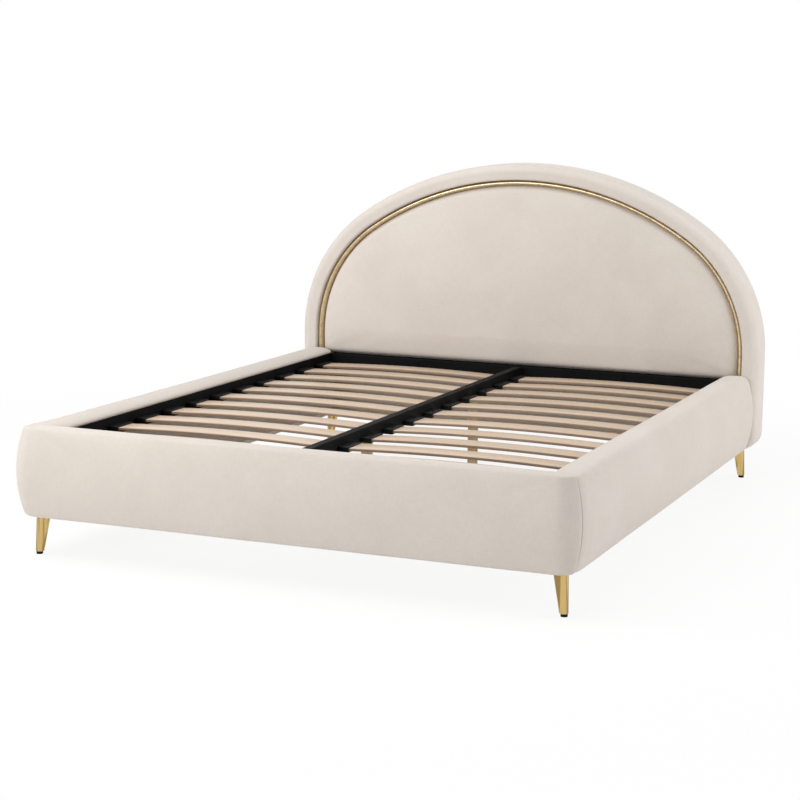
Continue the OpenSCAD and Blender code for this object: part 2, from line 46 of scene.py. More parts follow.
CORNER = 0.040  # square inner part of a front corner
CORNER_R = 0.080  # round outer part of a front corner
PAD_LOW = 0.126
PAD_T = 0.120
PAD_HIGH = 0.282
PAD_END = 0.998  # where the side pads end, in the headboard's roll
BULGE_R, BULGE_Z = 0.390, 0.140
UNDER_R = 0.022
SEAM_TURN = math.radians(66)  # how far round the corner its seam lies
SEAM_R = 0.005
Y_PLY = 1.028  # front of the headboard's plywood
Y_BACK = 1.138
HEAD_HALF = 0.932
SHOULDER_X, SPRING = 0.348, 0.473
SHOULDER_R, CROWN_R = 0.584, 1.203425
CROWN_Z = 1.164 - CROWN_R
SHOULDER_ANGLE = math.atan2(SPRING - CROWN_Z, SHOULDER_X)
TRIM_IN, TRIM_R, TRIM_LOW = 0.073, 0.010, 0.330
TRIM_STRETCH = (0.92, 2.6, 1)  # makes the trim's round bar an ellipse
SLAT_PITCH = 0.174
SLAT_Y = [0.009 + (i - 5) * SLAT_PITCH for i in range(11)]
SLAT_W, SLAT_T, SLAT_RISE = 0.088, 0.009, 0.009
SLAT_A, SLAT_B = 0.027, 0.789  # the ends of a right-hand slat
SLAT_LOW = 0.3445  # underside of a slat's ends
BAR_IN = 0.978  # inner faces of the head bar and the foot bar
BAR_HIGH = 0.369  # where bolts go through these bars
SEAT = 0.342  # where the slat caps stand
CAP_OUT, CAP_IN = 0.801, 0.015  # closed ends of the slat caps at the side and at the beam
LEG_X_TOP, LEG_X_FOOT, LEG_LEAN = 0.845, 0.859, 0.005
LEG_R_TOP, LEG_R_FOOT = 0.022, 0.0125
LEG_SPOTS = {  # side, y at the top, and the way that the foot leans
    "front_left": (-1, -1.053, -1),
    "front_right": (1, -1.053, -1),
    "rear_left": (-1, 1.104, 1),
    "rear_right": (1, 1.104, 1),
}
CENTRE_LEGS = {"front": -0.479, "rear": 0.490}


# ---- Modelling by hand ----


def deselect():
    if bpy.context.mode != "OBJECT":
        bpy.ops.object.mode_set(mode="OBJECT")
    bpy.ops.object.select_all(action="DESELECT")


def take(piece):
    """Makes one piece the active one."""
    deselect()
    piece.select_set(True)
    bpy.context.view_layer.objects.active = piece


def added(name, data):
    """A new object with its data, in the scene."""
    thing = bpy.data.objects.new(name, data)
    bpy.context.scene.collection.objects.link(thing)
    return thing


def named(name):
    """Names the new primitive and applies its place to its mesh."""
    piece = bpy.context.active_object
    piece.name = name
    piece.data.name = name
    bpy.ops.object.transform_apply(location=True, rotation=True, scale=True)
    return piece


def block(name, low, high):
    """A cube drawn out to a block between two corners."""
    deselect()
    low, high = Vector(low), Vector(high)
    bpy.ops.mesh.primitive_cube_add(size=1, location=(low + high) / 2)
    bpy.context.active_object.scale = high - low
    return named(name)


def round_bar(name, foot, top, r_foot, r_top, sides=48):
    """A cone or cylinder from one point to another."""
    deselect()
    foot, top = Vector(foot), Vector(top)
    axis = top - foot
    bpy.ops.mesh.primitive_cone_add(
        vertices=sides,
        radius1=r_foot,
        radius2=r_top,
        depth=axis.length,
        location=(foot + top) / 2,
        rotation=axis.to_track_quat("Z", "Y").to_euler(),
    )
    return named(name)


def edit(piece, kind, action="DESELECT"):
    """Opens a piece in edit mode, with nothing or all of it selected."""
    take(piece)
    bpy.ops.object.mode_set(mode="EDIT")
    bpy.ops.mesh.select_mode(type=kind)
    bpy.ops.mesh.select_all(action=action)


def pick(piece, kind, wanted):
    """Selects the faces or edges that pass the test, and stays in edit mode."""
    edit(piece, kind)
    mesh = bmesh.from_edit_mesh(piece.data)
    for part in mesh.faces if kind == "FACE" else mesh.edges:
        part.select_set(bool(wanted(part)))
    mesh.select_flush_mode()
    bmesh.update_edit_mesh(piece.data)


def pick_faces(piece, wanted):
    """Selects the faces whose middle and normal pass the test."""
    pick(piece, "FACE", lambda face: wanted(face.calc_center_median(), face.normal))


def pick_edges(piece, wanted):
    """Selects the edges whose two ends pass the test."""
    pick(piece, "EDGE", lambda edge: wanted(edge.verts[0].co, edge.verts[1].co))


def draw_out(way):
    bpy.ops.mesh.extrude_region_move(TRANSFORM_OT_translate={"value": way})


def outward(piece):
    """Merges doubles and turns the faces outwards."""
    edit(piece, "VERT", "SELECT")
    bpy.ops.mesh.remove_doubles(threshold=0.00002)
    bpy.ops.mesh.normals_make_consistent(inside=False)
    deselect()


def bevelled(piece, width, segments, angle):
    """Rounds the edges that are sharper than an angle, and returns the modifier."""
    bevel = piece.modifiers.new("edges", "BEVEL")
    bevel.width = width
    bevel.segments = segments
    bevel.limit_method = "ANGLE"
    bevel.angle_limit = math.radians(angle)
    return bevel


def smooth(piece, angle):
    take(piece)
    bpy.ops.object.shade_smooth_by_angle(angle=math.radians(angle))
    deselect()


def finish_edges(piece, width, segments, angle):
    """Rounds the sharp edges for good and smooths the faces between them."""
    take(piece)
    bpy.ops.object.modifier_apply(modifier=bevelled(piece, width, segments, angle).name)
    smooth(piece, angle)


def copy_to(piece, name, matrix):
    """A copy with its own mesh, moved within that mesh."""
    twin = piece.copy()
    twin.data = piece.data.copy()
    twin.name = name
    twin.data.name = name
    bpy.context.scene.collection.objects.link(twin)
    twin.data.transform(matrix)
    if matrix.determinant() < 0:
        twin.data.flip_normals()
    return twin


def joined(pieces, name):
    """One piece of several."""
    deselect()
    for piece in pieces:
        piece.select_set(True)
    bpy.context.view_layer.objects.active = pieces[0]
    bpy.ops.object.join()
    pieces[0].name = name
    pieces[0].data.name = name
    return pieces[0]


def place(piece, slot, *replaced, body="bed", finish=None):
    """Rides on a body, takes its slot's finish or another, and stands for its CAD nodes."""
    piece.data.materials.clear()
    piece.data.materials.append(finish or FINISHES[slot])
    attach(piece, body)
    if replaced:
        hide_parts(*replaced)
    return piece


def shifted(x, y, z):
    return Matrix.Translation((x, y, z))


def quarter_turn(axis, times=1):
    return Matrix.Rotation(times * math.pi / 2, 4, axis)


MIRROR = Matrix.Diagonal((-1, 1, 1, 1))


# ---- Finishes ----


class Nodes:
    """A node tree and the few calls that it is built with."""

    def __init__(self, owner, empty=False):
        owner.use_nodes = True
        self.tree = owner.node_tree
        if empty:
            self.tree.nodes.clear()

    def node(self, kind, **inputs):
        made = self.tree.nodes.new(kind)
        for socket, value in inputs.items():
            self.feed(value, made.inputs[socket.replace("_", " ")])
        return made

    def feed(self, value, socket):
        if isinstance(value, bpy.types.NodeSocket):
            self.tree.links.new(value, socket)
        else:
            socket.default_value = value

    def math(self, operation, one, two=0.0):
        made = self.node("ShaderNodeMath")
        made.operation = operation
        self.feed(one, made.inputs[0])
        self.feed(two, made.inputs[1])
        return made.outputs[0]

    def eased(self, value, start, end, first, last):
        """Runs smoothly from first to last while a value goes from start to end."""
        sockets = {"From_Min": start, "From_Max": end, "To_Min": first, "To_Max": last}
        made = self.node("ShaderNodeMapRange", Value=value, **sockets)
        made.interpolation_type = "SMOOTHSTEP"
        return made.outputs["Result"]

    def mixed(self, share, one, two, out):
        """Sends a mix of two shaders to an output node."""
        mix = self.node("ShaderNodeMixShader")
        for value, socket in zip((share, one, two), mix.inputs):
            self.feed(value, socket)
        self.feed(mix.outputs[0], self.node(out).inputs[0])


class Finish(Nodes):
    """A material round one principled shader."""

    def __init__(self, name, **values):
        self.material = bpy.data.materials.new(name)
        super().__init__(self.material)
        self.shader = self.tree.nodes["Principled BSDF"]
        for socket, value in values.items():
            self.shader.inputs[socket.replace("_", " ")].default_value = value
        self.coords = self.node("ShaderNodeTexCoord")

    def stretched(self, source="Object", scale=(1, 1, 1), spin=(0, 0, 0)):
        mapping = self.node("ShaderNodeMapping", Vector=self.coords.outputs[source])
        mapping.inputs["Scale"].default_value = scale
        mapping.inputs["Rotation"].default_value = spin
        return mapping.outputs["Vector"]

    def noise(self, vector, scale, detail=2.0, rough=0.5, distortion=0.0):
        made = self.node("ShaderNodeTexNoise", Vector=vector, Scale=scale, Detail=detail)
        made.inputs["Roughness"].default_value = rough
        made.inputs["Distortion"].default_value = distortion
        return made.outputs["Fac"]

    def ramp(self, value, *stops):
        """A colour or grey between stops of a position and a tone."""
        made = self.node("ShaderNodeValToRGB", Fac=value)
        elements = made.color_ramp.elements
        while len(elements) < len(stops):
            elements.new(0.5)
        for element, (position, tone) in zip(elements, stops):
            element.position = position
            if isinstance(tone, (int, float)):
                tone = (tone, tone, tone)
            element.color = (*tone, 1)
        return made.outputs["Color"]

    def blend(self, kind, share, one, two):
        made = self.node("ShaderNodeMix")
        made.data_type = "RGBA"
        made.blend_type = kind
        self.feed(share, made.inputs[0])
        self.feed(one, made.inputs[6])
        self.feed(two, made.inputs[7])
        return made.outputs[2]

    def split(self, source):
        return self.node("ShaderNodeSeparateXYZ", Vector=self.coords.outputs[source]).outputs

    def marked(self, name):
        """A value that the mesh carries."""
        made = self.node("ShaderNodeAttribute")
        made.attribute_name = name
        return made.outputs["Fac"]

    def bump(self, height, distance, strength=1.0, under=None):
        made = self.node("ShaderNodeBump", Height=height)
        made.inputs["Distance"].default_value = distance
        made.inputs["Strength"].default_value = strength
        if under is not None:
            self.feed(under, made.inputs["Normal"])
        return made.outputs["Normal"]

    def set(self, **sockets):
        for socket, value in sockets.items():
            self.feed(value, self.shader.inputs[socket.replace("_", " ")])
        return self.material


def velvet(name, turn, painted_light_level, painted_seams=()):
    """Short-pile cream velvet with a soft sheen, at a painted light level, with painted shade and
    highlight at its seams.
    """
    f = Finish(name, Roughness=0.92, Specular_IOR_Level=0.18)
    f.set(Sheen_Weight=0.32, Sheen_Roughness=0.45, Sheen_Tint=(1.0, 0.965, 0.93, 1))
    cloud = f.noise(f.stretched(spin=(0, 0, turn)), 3.6, 4.0, 0.6, 0.4)
    nap = f.noise(f.stretched("UV", (34, 210, 1)), 1.0, 3.0, 0.6, 0.3)
    weft = f.noise(f.stretched("UV", (230, 40, 1)), 1.0, 3.0, 0.6, 0.3)
    pile = f.noise(f.stretched("UV"), 950.0, 1.0)
    dark, light = (0.660, 0.598, 0.540), (0.710, 0.648, 0.590)
    # The tones are scaled to the pad's painted light level: lit and shaded copies of one velvet
    dark, light = (tuple(a * b for a, b in zip(painted_light_level, c)) for c in (dark, light))
    tone = f.ramp(cloud, (0.30, dark), (0.70, light))
    tone = f.blend("MULTIPLY", 0.60, tone, f.ramp(nap, (0.30, 0.925), (0.72, 1.0)))
    tone = f.blend("MULTIPLY", 0.60, tone, f.ramp(weft, (0.30, 0.925), (0.72, 1.0)))
    tone = f.blend("MULTIPLY", 0.40, tone, f.ramp(pile, (0.30, 0.84), (0.70, 1.0)))
    along = f.math("ABSOLUTE", f.split("UV")["X"])
    # Painted shade in the seams' creases, and a painted highlight on the foot's lip
    for start, end, painted_light_factor in painted_seams:
        tone = f.blend("MULTIPLY", 1.0, tone, f.eased(along, start, end, 1.0, painted_light_factor))
    low = f.bump(nap, 0.0010, 0.35)
    return f.set(Base_Color=tone, Normal=f.bump(pile, 0.0006, 0.55, low))


def brushed_brass(name, around, dark, light):
    """Satin brass with fine brush lines, broad bands of painted reflection and a faint darkening.
    """
    f = Finish(name, Metallic=1.0, Anisotropic=0.35)
    lines = f.noise(f.stretched("Object", around), 1.0, 3.0, 0.6)
    broad = f.noise(f.stretched("Object", tuple(a / 9.5 for a in around)), 1.0, 1.0, 0.4)
    stain = f.noise(f.stretched(), 34.0, 4.0, 0.6)
    # Broad bands between the dark and light tones: painted reflections, long ones on the legs
    tone = f.ramp(broad, (0.38, dark), (0.56, light))
    tone = f.blend("MULTIPLY", 0.5, tone, f.ramp(lines, (0.32, 0.86), (0.70, 1.0)))
    tone = f.blend("MULTIPLY", 0.5, tone, f.ramp(stain, (0.30, 0.90), (0.65, 1.0)))
    rough = f.ramp(lines, (0.30, 0.22), (0.72, 0.34))
    return f.set(Base_Color=tone, Roughness=rough, Normal=f.bump(lines, 0.00008, 0.25))


def grained(name, grain, relief, cloud, stop, tones, roughness, **values):
    """A plain finish with a fine grain in relief, clouded a little in its tone and its gloss."""
    f = Finish(name, **values)
    fine = f.noise(f.stretched(), *grain)
    broad = f.noise(f.stretched(), *cloud)
    tone, rough = (f.ramp(broad, (0.30, a), (stop, b)) for a, b in (tones, roughness))
    return f.set(Base_Color=tone, Roughness=rough, Normal=f.bump(fine, *relief))


def beech(name):
    """Lacquered beech veneers, glued in plies that show on the slats' edges, which painted shade
    darkens overall.
    """
    f = Finish(name, Roughness=0.42, Coat_Weight=0.25, Coat_Roughness=0.22)
    grain = f.noise(f.stretched("Object", (5, 150, 60)), 1.0, 5.0, 0.62, 0.25)
    fleck = f.noise(f.stretched("Object", (70, 520, 200)), 1.0, 2.0, 0.5)
    flow = f.noise(f.stretched("Object", (1.6, 16, 6)), 1.0, 3.0, 0.6, 0.8)
    tone = f.ramp(grain, (0.28, (0.555, 0.415, 0.298)), (0.74, (0.690, 0.560, 0.430)))
    clouds = f.ramp(flow, (0.30, (0.90, 0.86, 0.82)), (0.70, (1, 1, 1)))
    flecks = f.ramp(fleck, (0.60, (1, 1, 1)), (0.78, (0.70, 0.58, 0.46)))
    tone = f.blend("MULTIPLY", 0.5, tone, clouds)
    tone = f.blend("MULTIPLY", 0.45, tone, flecks)
    place_of = f.split("Object")
    row = f.math("FLOOR", f.math("MULTIPLY", place_of["Y"], 1 / SLAT_PITCH))
    side = f.math("GREATER_THAN", place_of["X"], 0.0)
    pick = f.node("ShaderNodeTexWhiteNoise")
    pick.noise_dimensions = "1D"
    f.feed(f.math("ADD", row, f.math("MULTIPLY", side, 37.0)), pick.inputs["W"])
    tint = f.ramp(pick.outputs["Value"], (0.0, (0.93, 0.90, 0.87)), (1.0, (1.0, 1.0, 1.0)))
    tone = f.blend("MULTIPLY", 1.0, tone, tint)
    # The cut edges are darkened overall, which is painted shade, and lined with the plies and their
    # glue
    layers = f.math("FRACT", f.math("MULTIPLY", f.marked("ply"), 3.0))
    glue, near_ply_painted_shade, far_ply_painted_shade = (0.24, 0.19, 0.155), (0.50, 0.44, 0.385), (0.41, 0.355, 0.31)
    lines = f.ramp(layers, (0.0, glue), (0.16, near_ply_painted_shade), (0.84, far_ply_painted_shade))
    tone = f.blend("MULTIPLY", f.marked("edge"), tone, lines)
    return f.set(Base_Color=tone, Normal=f.bump(grain, 0.0002, 0.35))


def timber(name, light, dark, along):
    """Planed softwood or plywood with grain along one axis."""
    f = Finish(name, Roughness=0.62)
    grain = f.noise(f.stretched("Object", along), 1.0, 5.0, 0.6, 0.9)
    pores = f.noise(f.stretched("Object", tuple(9 * a for a in along)), 1.0, 2.0)
    tone = f.ramp(grain, (0.30, dark), (0.70, light))
    tone = f.blend("MULTIPLY", 0.4, tone, f.ramp(pores, (0.35, 0.8), (0.65, 1.0)))
    return f.set(Base_Color=tone, Normal=f.bump(grain, 0.0004, 0.4))


def lining_cloth(name, dark, light):
    """Spunbonded lining with its embossed dots."""
    f = Finish(name, Roughness=0.9, Sheen_Weight=0.1)
    dots = f.node("ShaderNodeTexVoronoi", Vector=f.coords.outputs["UV"], Scale=420.0)
    dots.inputs["Randomness"].default_value = 0.15
    fibre = f.noise(f.stretched("UV"), 700.0, 3.0, 0.7)
    press = f.ramp(dots.outputs["Distance"], (0.18, 0.0), (0.34, 1.0))
    tone = f.ramp(fibre, (0.30, dark), (0.70, light))
    tone = f.blend("MULTIPLY", 0.5, tone, press)
    return f.set(Base_Color=tone, Normal=f.bump(press, 0.0003, 0.5))


# Painted shade along a pad at the front corner's seam and at the headboard's, and a painted
# highlight on the foot's lip by its seam
RAIL_SEAM_SHADE = [(0.0080, 0.0010, 0.50), (2.0680, 2.0820, 0.60)]
FOOT_SEAM_HIGHLIGHT_AND_SHADE = [(0.9200, 0.9290, 1.05), (0.9335, 0.9355, 0.50)]
# The legs' darkest brass is painted reflection; the tubes' brass is darkened with painted shade
BRASS_PAINTED_REFLECTION_DARK, TUBE_BRASS_PAINTED_SHADE = (0.350, 0.228, 0.080), (0.300, 0.215, 0.120)

# The left rail's velvet is a copy at 0.87 of the light: painted shade
VELVET_LEFT_PAINTED_SHADE = velvet("velvet left rail", 2.3, (0.87, 0.87, 0.87), RAIL_SEAM_SHADE)
BRASS_TRIM = brushed_brass(
    "brass trim", (620, 620, 620), (0.76, 0.625, 0.400), (0.88, 0.745, 0.510)
)
BRASS_LEGS = brushed_brass("brass legs", (900, 900, 26), BRASS_PAINTED_REFLECTION_DARK, (0.670, 0.475, 0.190))
INSIDE = lining_cloth("inside lining", (0.300, 0.262, 0.225), (0.420, 0.370, 0.320))

# The finish of each material slot
FINISHES = {
    # Each pad's velvet has its own painted light level: lighter on the headboard, darker on the
    # foot
    "velvet_border": velvet("velvet border", 0.3, (1.04, 1.052, 1.064)),
    "velvet_panel": velvet("velvet panel", 1.1, (1.05, 1.062, 1.074)),
    "velvet_rails": velvet("velvet rails", 2.0, (0.99, 0.99, 0.99), RAIL_SEAM_SHADE),
    "velvet_foot": velvet("velvet foot", 2.7, (0.95, 0.95, 0.95), FOOT_SEAM_HIGHLIGHT_AND_SHADE),
    "lining": lining_cloth("lining cloth", (0.010, 0.010, 0.011), (0.032, 0.032, 0.034)),
    "plywood": timber("plywood", (0.62, 0.46, 0.30), (0.48, 0.34, 0.21), (30, 30, 4)),
    "pine": timber("pine", (0.66, 0.47, 0.28), (0.50, 0.33, 0.18), (3, 40, 40)),
    "beech": beech("beech slats"),
    # The centre tubes' brass is darkened for their place under the bed: painted shade
    "brass": brushed_brass("brass tubes painted shade", (700, 700, 24), TUBE_BRASS_PAINTED_SHADE, (0.370, 0.270, 0.150)),
    "zinc": grained(
        "zinc plate",
        grain=(1100.0, 1.0),
        relief=(0.0001, 0.3),
        cloud=(90.0, 4.0, 0.6),
        stop=0.70,
        tones=((0.46, 0.47, 0.49), (0.62, 0.62, 0.63)),
        roughness=(0.26, 0.42),
        Metallic=1.0,
    ),
    "black_steel": grained(  # the orange peel of a powder coat
        "black powder coat",
        grain=(620.0, 2.0),
        relief=(0.0003, 0.5),
        cloud=(6.0, 4.0, 0.6),
        stop=0.72,
        tones=((0.0030, 0.0031, 0.0033), (0.0062, 0.0064, 0.0067)),
        roughness=(0.50, 0.66),
        Specular_IOR_Level=0.05,
    ),
    "black_plastic": grained(  # the spark-eroded skin of a mould
        "black plastic",
        grain=(1500.0, 2.0),
        relief=(0.00015, 0.5),
        cloud=(22.0, 3.0),
        stop=0.72,
        tones=((0.0022, 0.0022, 0.0024), (0.0048, 0.0048, 0.0052)),
        roughness=(0.46, 0.60),
        Specular_IOR_Level=0.14,
    ),
}
for node in nodes.values():
    slot = node.data.materials[0].name.split(".")[0]
    node.data.materials[0] = FINISHES[slot]

# Width of the eased edges of the nodes that stay
EASED = {
    0.0006: "corner_brackets headboard_brackets leg_plates centre_leg_front centre_leg_rear",
    0.0007: "side_angle_left side_angle_right",
    0.0012: "headboard_board headboard_rim rail_board_left rail_board_right foot_board",
    0.0015: "headboard_posts corner_blocks",
    0.0018: "head_bar foot_bar centre_beam",
}
for width, names in EASED.items():
    for name in names.split():
        weld = nodes[name].modifiers.new("weld", "WELD")
        weld.merge_threshold = 0.00002
        bevelled(nodes[name], width, 2, 40)


# ---- Padding ----


def arc(centre, radius, start, end, step=0.001):
    """Points of an arc in degrees, without its last one."""
    count = max(2, int(abs(math.radians(end - start)) * radius / step))
    angles = np.radians(line(start, end, count))
    return np.stack([centre[0] + radius * np.cos(angles), centre[1] + radius * np.sin(angles)], 1)


def line(start, end, count):
    """Points or values from start to end, without the last one."""
    return np.linspace(start, end, count, endpoint=False)


def even(outline, count, bend):
    """The closed outline with more points in its bends, its normals and the way along it."""
    closed = np.vstack([outline, outline[:1]])
    step = np.diff(closed, axis=0)
    run = np.linalg.norm(step, axis=1)
    heading = np.arctan2(step[:, 1], step[:, 0])
    turned = np.abs((np.roll(heading, -1) - heading + math.pi) % (2 * math.pi) - math.pi)
    way = np.r_[0, np.cumsum(run)]
    weight = np.r_[0, np.cumsum(run + bend * turned)]
    spots = np.interp(np.linspace(0, weight[-1], count + 1), weight, way)
    points = np.stack([np.interp(spots[:-1], way, closed[:, k]) for k in (0, 1)], 1)
    turn = np.roll(points, -1, 0) - np.roll(points, 1, 0)
    turn /= np.linalg.norm(turn, axis=1)[:, None]
    return points, np.stack([-turn[:, 1], turn[:, 0]], 1), spots


def skin(name, points, faces, uvs=()):
    """A smooth mesh from its points and faces, with a UV map in metres."""
    mesh = bpy.data.meshes.new(name)
    mesh.from_pydata(points, [], faces)
    layer = mesh.uv_layers.new(name="UVMap")
    if uvs:
        layer.data.foreach_set("uv", np.array(uvs, float).ravel())
    for face in mesh.polygons:
        face.use_smooth = True
    return added(name, mesh)


def lay_flat(piece):
    """Takes the UV map from each point's width and height."""
    layer = piece.data.uv_layers["UVMap"]
    for loop in piece.data.loops:
        spot = piece.data.vertices[loop.vertex_index].co
        layer.data[loop.index].uv = (spot.x, spot.z)


def loft(name, rings, along, around):
    """A closed skin over rings of points, with a UV map in metres."""
    rings = np.asarray(rings)
    count, size = rings.shape[:2]
    points = [tuple(p) for p in rings.reshape(-1, 3)]
    points += [tuple(rings[0].mean(0)), tuple(rings[-1].mean(0))]
    faces, uvs = [], []
    for i in range(count - 1):
        for j in range(size):
            k = (j + 1) % size
            faces.append((i * size + j, i * size + k, (i + 1) * size + k, (i + 1) * size + j))
            uvs += [(along[i], around[j]), (along[i], around[j + 1])]
            uvs += [(along[i + 1], around[j + 1]), (along[i + 1], around[j])]
    for j in range(size):
        k = (j + 1) % size
        faces.append((count * size, k, j))
        faces.append((count * size + 1, (count - 1) * size + j, (count - 1) * size + k))
        for i in (0, -1):
            uvs += [(along[i], around[k]) for k in (size // 2, j, j + 1)]
    piece = skin(name, points, faces, uvs)
    outward(piece)
    return piece


def pad_section(shoulder):
    """Section of a side or foot pad: outwards and upwards from its lower inner corner."""
    turn = np.radians(line(180, 90, 60))
    rise = math.asin((PAD_HIGH - shoulder - BULGE_Z) / (BULGE_R - shoulder))
    fall = math.asin((BULGE_Z - UNDER_R) / (BULGE_R - UNDER_R))
    top_x = PAD_T - BULGE_R + (BULGE_R - shoulder) * math.cos(rise)
    low_x = PAD_T - BULGE_R + (BULGE_R - UNDER_R) * math.cos(fall)
    outline = np.vstack([
        # Up the inner face to the seam under the top, out over it and round the inner edge
        line((0.0, 0.020), (0.0, 0.2562), 236),
        [(0.0, 0.2590), (-0.0025, 0.2594), (-0.0050, 0.2606), (-0.0062, 0.2625)],
        np.stack([0.0455 + 0.0520 * np.cos(turn), 0.2640 + 0.0180 * np.sin(turn)], 1),
        # Along the top, round the shoulder, down the bulge and back under it
        line((0.0455, PAD_HIGH), (top_x, PAD_HIGH), 24),
        arc((top_x, PAD_HIGH - shoulder), shoulder, 90, math.degrees(rise)),
        arc((PAD_T - BULGE_R, BULGE_Z), BULGE_R, math.degrees(rise), -math.degrees(fall)),
        arc((low_x, UNDER_R), UNDER_R, -math.degrees(fall), -90),
        line((low_x, 0.0), (0.020, 0.0), 50),
        arc((0.020, 0.020), 0.020, 270, 180),
    ])
    return even(outline, 96, 0.03)


def seam_roll(lip):
    """Steps out of a deep seam over a small lip: way from it, and how far the cloth is drawn in."""
    turns = np.radians([8, 28, 48, 68, 90])
    over = [(0.0006 + lip - lip * math.cos(t), lip - lip * math.sin(t)) for t in turns]
    return [(0.0, 0.014)] + over


def tucked(d):
    """How far the side cloth lies behind the foot's rolled edge, a distance from the seam."""
    return 0.0050 * math.exp(-((d / 0.034) ** 1.5))


def waver(points, normals, size, seed):
    """A slight unevenness of the foam under the cloth."""
    where = points * 3.1 + seed
    push = [noise.noise(Vector(p)) + 0.5 * noise.noise(Vector(p) * 2.7) for p in where]
    return points + normals * (size * np.array(push))[:, None]


# The pads' section at the front, and the rounder one that the side pads turn into
PAD_POINTS, PAD_NORMALS, PAD_AROUND = pad_section(0.011)
SOFT_POINTS, SOFT_NORMALS, _ = pad_section(0.034)
# A seam is shallow where the pad's section passes the corner's square part
SHALLOW = np.clip(np.abs(PAD_POINTS[:, 0] - CORNER) / 0.015, 0.2, 1.0)
# Rings of a side pad: ways from the corner's seam, and its rolled end
TUCKED_STEPS = (0.007, 0.012, 0.018, 0.025, 0.033, 0.042, 0.052, 0.064)
END_ROLL = (  # way back from the end, and how far the cloth is drawn in
    (0.028, 0.0002),
    (0.022, 0.0009),
    (0.017, 0.0022),
    (0.013, 0.0040),
    (0.009, 0.0066),
    (0.005, 0.0098),
    (0, 0.014),
)


def rail_pad(name):
    """The right side pad: from its seam round the corner and back to the headboard's roll."""
    bend = CORNER_R * (math.pi / 2 - SEAM_TURN)
    length = PAD_END - Y_IN + CORNER + bend
    steps = [(d, s + tucked(d), 0) for d, s in seam_roll(0.003)]
    steps += [(d, tucked(d), 0) for d in TUCKED_STEPS]
    steps += [(d, 0, 0) for d in np.linspace(CORNER_R, length - 0.036, 106)]
    steps += [(length - back, 0, drawn) for back, drawn in END_ROLL]
    u = PAD_POINTS[:, 0]
    outer = u > CORNER
    rings = []
    for d, drawn, rolled in steps:
        soft = min(1.0, d / 0.22)
        section = PAD_POINTS * (1 - soft) + SOFT_POINTS * soft
        facing = PAD_NORMALS * (1 - soft) + SOFT_NORMALS * soft
        p = section - facing * (drawn * SHALLOW + rolled)[:, None]
        angle = min(SEAM_TURN + d / CORNER_R, math.pi / 2)
        onward = max(0.0, d - bend)
        reach = p[:, 0] - CORNER
        square = max(0.0, min(1.0, 1 - onward / 0.25))
        mitre = (CORNER - np.clip(u, 0, CORNER)) * (1 + min(d, bend) / CORNER) * square
        x = SPACE_HALF + CORNER + reach * np.where(outer, math.sin(angle), 1.0)
        y = Y_IN - CORNER + onward + np.where(outer, -reach * math.cos(angle), mitre)
        ring = np.stack([x, y, PAD_LOW + p[:, 1]], 1)
        n = np.stack([facing[:, 0], np.zeros(len(p)), facing[:, 1]], 1)
        rings.append(waver(ring, n, 0.0006, 1.0))
    return loft(name, rings, [d for d, _, _ in steps], PAD_AROUND)


def foot_pad(name):
    """The foot pad, with its two rounded front corners."""
    u, v = PAD_POINTS[:, 0], PAD_POINTS[:, 1]
    outer = u > CORNER
    turn_x = SPACE_HALF + CORNER
    side = []
    for d, drawn in seam_roll(SEAM_R - 0.0006):
        side.append((SEAM_TURN - d / CORNER_R, d, drawn))
    for angle in line(SEAM_TURN - 0.13, 0, 10):
        side.append((angle, SEAM_R, 0))
    rings, along = [], []

    def ring(x, y, drawn, nx, ny):
        p = np.stack([x, y, PAD_LOW + v], 1)
        n = np.stack([nx * PAD_NORMALS[:, 0], ny * PAD_NORMALS[:, 0], PAD_NORMALS[:, 1]], 1)
        rings.append(waver(p - n * (drawn * SHALLOW)[:, None], n, 0.0006, 5.0))

    for end in (-1, 1):
        part = side if end < 0 else side[::-1]
        for angle, d, drawn in part:
            reach = u - CORNER
            x = np.where(outer, turn_x + reach * math.sin(angle), SPACE_HALF + u - d)
            y = np.where(outer, Y_IN - CORNER - reach * math.cos(angle), Y_IN - u)
            ring(end * x, y, drawn, end * math.sin(angle), -math.cos(angle))
            along.append(end * (turn_x + CORNER_R * angle))
        if end < 0:
            for t in np.linspace(-1, 1, 88):
                x = t * np.where(outer, turn_x, SPACE_HALF + u - SEAM_R)
                ring(x, Y_IN - u, 0, 0.0, -1.0)
                along.append(t * turn_x)
    return loft(name, rings, along, PAD_AROUND)


def border_section():
    """Section of the headboard's roll: inset from the silhouette, and depth."""
    turn = np.radians(line(0, 90, 50))
    outline = np.vstack([
        # Out along the trim, round a tight roll and across the flat front
        line((0.0628, 1.026), (0.0628, 0.997), 29),
        np.stack([0.0545 + 0.0083 * np.cos(turn), 0.997 - 0.0085 * np.sin(turn)], 1),
        line((0.0545, 0.9885), (0.030, 0.986), 24),
        # Round to the side, back to the rear edge and in behind the board
        arc((0.030, 1.016), 0.030, -90, -180),
        line((0.0, 1.016), (0.0, 1.102), 86),
        arc((0.036, 1.102), 0.036, 180, 90),
        line((0.0365, 1.137), (0.0365, 1.030), 100),
        line((0.0365, 1.0275), (0.0628, 1.0275), 27),
    ])
    return even(outline, 76, 0.02)


def on_arch(inset, way, angle):
    """A point of the arch on one of its ways, at an angle or, below the spring line, a height."""
    if way == "right":
        return HEAD_HALF - inset, angle + 0 * inset
    if way == "left":
        return inset - HEAD_HALF, angle + 0 * inset
    if way == "crown":
        r = CROWN_R - inset
        return r * math.cos(angle), CROWN_Z + r * math.sin(angle)
    r = SHOULDER_R - inset
    centre = SHOULDER_X if way == "right shoulder" else -SHOULDER_X
    return centre + r * math.cos(angle), SPRING + r * math.sin(angle)


